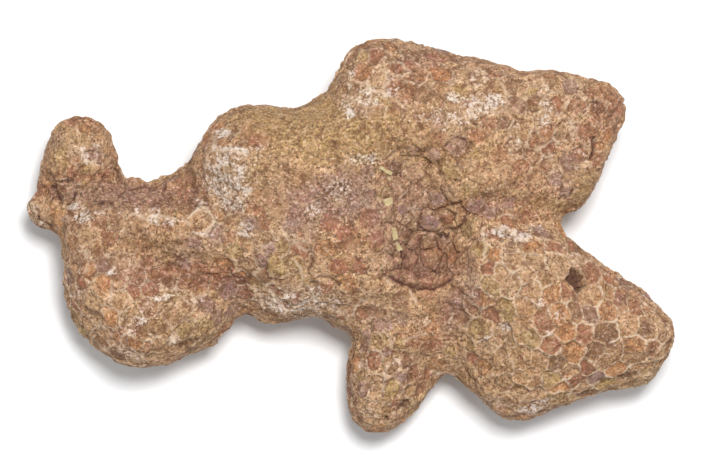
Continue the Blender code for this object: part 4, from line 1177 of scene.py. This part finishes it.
def stoneMaterial(name):
    material = bpy.data.materials.new(name)
    material.use_nodes = True
    tree = material.node_tree
    shader = tree.nodes["Principled BSDF"]
    spot = addNode(tree, "TexCoord")
    grains = placeGroup(tree, stoneGrainGroup)
    finishes = placeGroup(tree, weatheredCoral)
    tree.links.new(spot.outputs["Object"], grains.inputs["Vector"])
    for label in grainLabels:
        tree.links.new(grains.outputs[label], finishes.inputs[label])
    bump = addNode(tree, "Bump")
    bump.inputs["Strength"].default_value = stoneLook["bump"]
    bump.inputs["Distance"].default_value = stoneLook["bumpReach"]
    tree.links.new(grains.outputs["Height"], bump.inputs["Height"])
    tree.links.new(finishes.outputs["Color"], shader.inputs["Base Color"])
    tree.links.new(finishes.outputs["Roughness"], shader.inputs["Roughness"])
    tree.links.new(bump.outputs["Normal"], shader.inputs["Normal"])
    shader.inputs["Specular IOR Level"].default_value = stoneLook["specular"]
    return material


# Parted at the forks, half way in the frame's gaps.
prismFoot = -5 * mm
prismHeight = 40 * mm


def forkPrism(outline):               # an upright block over the fork's outline
    bpy.ops.object.select_all(action="DESELECT")
    bpy.ops.mesh.primitive_circle_add(vertices=len(outline), radius=1.0, fill_type="NGON")
    prism = bpy.context.object
    for vertex, (x, y) in zip(prism.data.vertices, outline):
        vertex.co = (x * mm, y * mm, prismFoot)
    bpy.ops.object.mode_set(mode="EDIT")
    bpy.ops.mesh.select_all(action="SELECT")
    bpy.ops.mesh.extrude_region_move(TRANSFORM_OT_translate={"value": (0.0, 0.0, prismHeight)})
    bpy.ops.mesh.select_all(action="SELECT")
    bpy.ops.mesh.normals_make_consistent(inside=False)
    bpy.ops.object.mode_set(mode="OBJECT")
    return prism


def partAtForks():                    # one part for each piece, and the trunk is what is left
    parts = []
    for piece in pieces[:-1]:
        prism = forkPrism(piece["fork"])
        selectOnly(skin)
        bpy.ops.object.duplicate()
        part = bpy.context.object
        applyModifier(part, "BOOLEAN", operation="INTERSECT", solver="MANIFOLD", object=prism)
        applyModifier(skin, "BOOLEAN", operation="DIFFERENCE", solver="MANIFOLD", object=prism)
        bpy.data.objects.remove(prism)
        parts.append(part)
    return parts + [skin]


def healSeam(mesh):                   # points made by the cut take the values of the skin beside them
    made = np.empty(len(mesh.vertices), np.float32)
    mesh.attributes["onSkin"].data.foreach_get("value", made)
    made = np.flatnonzero(made < 0.5).tolist()
    beside = [skinPoints.find(mesh.vertices[index].co)[1] for index in made]
    for name, values in storedValues.items():
        data = mesh.attributes[name].data
        for index, source in zip(made, beside):
            data[index].value = float(values[source])
    for index, source in zip(made, beside):
        mesh.attributes["skinNormal"].data[index].vector = skinNormals[source]


# The whole skin shades by its directions from before the cut, so that no seam shows, and the
# faces of the cut keep their own.
def shadePart(part):
    mesh = part.data
    selectOnly(part)
    bpy.ops.object.shade_smooth()
    given = np.empty(len(mesh.vertices) * 3, np.float32)
    mesh.attributes["skinNormal"].data.foreach_get("vector", given)
    corners = np.empty(len(mesh.loops), np.int64)
    mesh.loops.foreach_get("vertex_index", corners)
    given = given.reshape(-1, 3)[corners]
    sizes = np.empty(len(mesh.polygons), np.int64)
    mesh.polygons.foreach_get("loop_total", sizes)
    flat = np.empty(len(mesh.polygons) * 3, np.float32)
    mesh.polygons.foreach_get("normal", flat)
    flat = flat.reshape(-1, 3)
    own = np.repeat(flat, sizes, axis=0)
    agree = np.einsum("ij,ij->i", own, given)
    worst = np.minimum.reduceat(agree, np.concatenate([[0], np.cumsum(sizes)[:-1]]))
    isCut = np.repeat((worst < 0.2) & (np.abs(flat[:, 2]) < 0.001), sizes)
    mesh.normals_split_custom_set(np.where(isCut[:, None], own, given).tolist())


def finishPart(part, piece):
    part.name = piece["name"] + "_coral"
    part.data.name = part.name
    part.data.materials.clear()
    part.data.materials.append(stoneMaterial(piece["name"] + "_stone"))
    shadePart(part)
    for name in ("skinNormal", "onSkin"):
        part.data.attributes.remove(part.data.attributes[name])
    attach(part, "root")
    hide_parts(piece["name"])
    print(part.name, len(part.data.polygons), "faces")


skinNormals = vertexPlaces(skin, "normal")
skin.data.attributes.new("skinNormal", "FLOAT_VECTOR", "POINT")
skin.data.attributes["skinNormal"].data.foreach_set("vector", skinNormals.astype(np.float32).ravel())
skinPlaces = vertexPlaces(skin).tolist()
skinPoints = KDTree(len(skinPlaces))
for index, place in enumerate(skinPlaces):
    skinPoints.insert(place, index)
skinPoints.balance()
skinTree = BVHTree.FromPolygons(skinPlaces, skinFaces)
for part, piece in zip(partAtForks(), pieces):
    healSeam(part.data)
    finishPart(part, piece)


# Five chips of pale straw caught in the hollow.
straw = {
    "chips": [                   # x, y, length and width in pixels, turn in degrees
        (386, 171, 13, 3.4, -32), (389, 177, 9, 2.6, -66), (388, 202, 9, 7, 20),
        (394, 234, 13, 5, -72), (397, 245, 13, 4.5, -62),
    ],
    "thickness": 1.9,            # pixels
    "rise": 0.4,                 # of the thickness, from the skin to the middle of a chip
    "level": 2.0,                # how much a chip lies level more than along the skin
    "crumple": 0.16,             # mm
    "crease": 40,                # degrees
    "colour": (0.600, 0.475, 0.270),
    "streak": (0.360, 0.260, 0.100),
    "roughness": (0.6, 0.8),
}


def strawMaterial():
    material = bpy.data.materials.new("dry_straw")
    material.use_nodes = True
    tree = material.node_tree
    shader = tree.nodes["Principled BSDF"]
    spot = addNode(tree, "TexCoord")
    grains = placeGroup(tree, stoneGrainGroup)
    tree.links.new(spot.outputs["Object"], grains.inputs["Vector"])
    colour = mixColours(tree, grains.outputs["Grain"], straw["streak"], straw["colour"])
    roughness = rangeNode(tree, grains.outputs["Grain"], 0.0, 1.0, *straw["roughness"])
    tree.links.new(colour, shader.inputs["Base Color"])
    tree.links.new(roughness, shader.inputs["Roughness"])
    return material


def layChip(x, y, length, width, turn):
    pixel = photo["pixel"]
    spot, normal = skinTree.ray_cast(cameraPlace, lineOfSight(x, y))[:2]
    rise = Vector((0, 0, straw["rise"] * straw["thickness"] * pixel))
    bpy.ops.mesh.primitive_cube_add(size=1.0, location=spot + rise)
    chip = bpy.context.object
    chip.scale = (length * pixel, width * pixel, straw["thickness"] * pixel)
    chip.rotation_mode = "QUATERNION"
    up = Vector((normal.x, normal.y, normal.z + straw["level"])).normalized()
    along = Vector((math.cos(math.radians(turn)), math.sin(math.radians(turn)), 0.0))
    lean = Vector((0, 0, 1)).rotation_difference(up)
    spin = Vector((1, 0, 0)).rotation_difference(along)
    chip.rotation_quaternion = lean @ spin
    return chip


def layStraw():
    chips = [layChip(*chip) for chip in straw["chips"]]
    bpy.ops.object.select_all(action="DESELECT")
    for chip in chips:
        chip.select_set(True)
    bpy.context.view_layer.objects.active = chips[0]
    bpy.ops.object.join()
    made = bpy.context.object
    bpy.ops.object.transform_apply(location=True, rotation=True, scale=True)
    applyModifier(made, "SUBSURF", subdivision_type="SIMPLE", levels=3, render_levels=3)
    spots = vertexPlaces(made)
    size, seed = grainSizes["straw"]
    shake = np.stack([noiseAt(spots / mm, size, seed + axis) for axis in range(3)], axis=1)
    made.data.vertices.foreach_set("co", (spots + shake * straw["crumple"] * mm).astype(np.float32).ravel())
    made.data.update()
    made.name = "straw_chips"
    made.data.name = made.name
    made.data.materials.append(strawMaterial())
    bpy.ops.object.shade_smooth_by_angle(angle=math.radians(straw["crease"]))
    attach(made, "root")


layStraw()
print("straw laid")


# Floor, light and camera.
stageLook = {
    "floorSize": 1.2,
    "floorColour": (0.97, 0.97, 0.97, 1.0),
    "floorRoughness": 0.95,
    "keyPower": 3.6,
    "keySize": 0.15,
    "keyPlace": (0.06, 0.14, 0.62),
    "skyStrength": 0.47,
    "skyColour": (0.93, 0.97, 1.0, 1.0),
}

bpy.ops.object.select_all(action="DESELECT")
bpy.ops.mesh.primitive_plane_add(size=stageLook["floorSize"], location=(0.0, 0.0, 0.0))
floor = bpy.context.object
floor.name = "floor"
paper = bpy.data.materials.new("floor_paper")
paper.use_nodes = True
paperShader = paper.node_tree.nodes["Principled BSDF"]
paperShader.inputs["Base Color"].default_value = stageLook["floorColour"]
paperShader.inputs["Roughness"].default_value = stageLook["floorRoughness"]
paperShader.inputs["Specular IOR Level"].default_value = 0.0
floor.data.materials.append(paper)
floor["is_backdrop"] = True

bpy.ops.object.light_add(type="AREA", location=stageLook["keyPlace"])
key = bpy.context.object
key.data.energy = stageLook["keyPower"]
key.data.size = stageLook["keySize"]
key.rotation_euler = Vector(stageLook["keyPlace"]).to_track_quat("Z", "Y").to_euler()

world = bpy.data.worlds.new("studio")
bpy.context.scene.world = world
world.use_nodes = True
world.node_tree.nodes["Background"].inputs["Color"].default_value = stageLook["skyColour"]
world.node_tree.nodes["Background"].inputs["Strength"].default_value = stageLook["skyStrength"]
bpy.context.scene.view_settings.view_transform = "Standard"

bpy.ops.object.camera_add(location=cameraPlace, rotation=(0.0, 0.0, 0.0))
eye = bpy.context.object
eye.data.lens = camera["lens"]
eye.data.sensor_width = camera["sensor"]
eye.data.clip_start = camera["clipStart"]
eye.data.clip_end = camera["clipEnd"]
bpy.context.scene.camera = eye

low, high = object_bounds()
print("box of the frame", [round(v / mm, 2) for v in (*cadLow, *cadHigh)])
print("box of the coral", [round(v / mm, 2) for v in (*low, *high)])
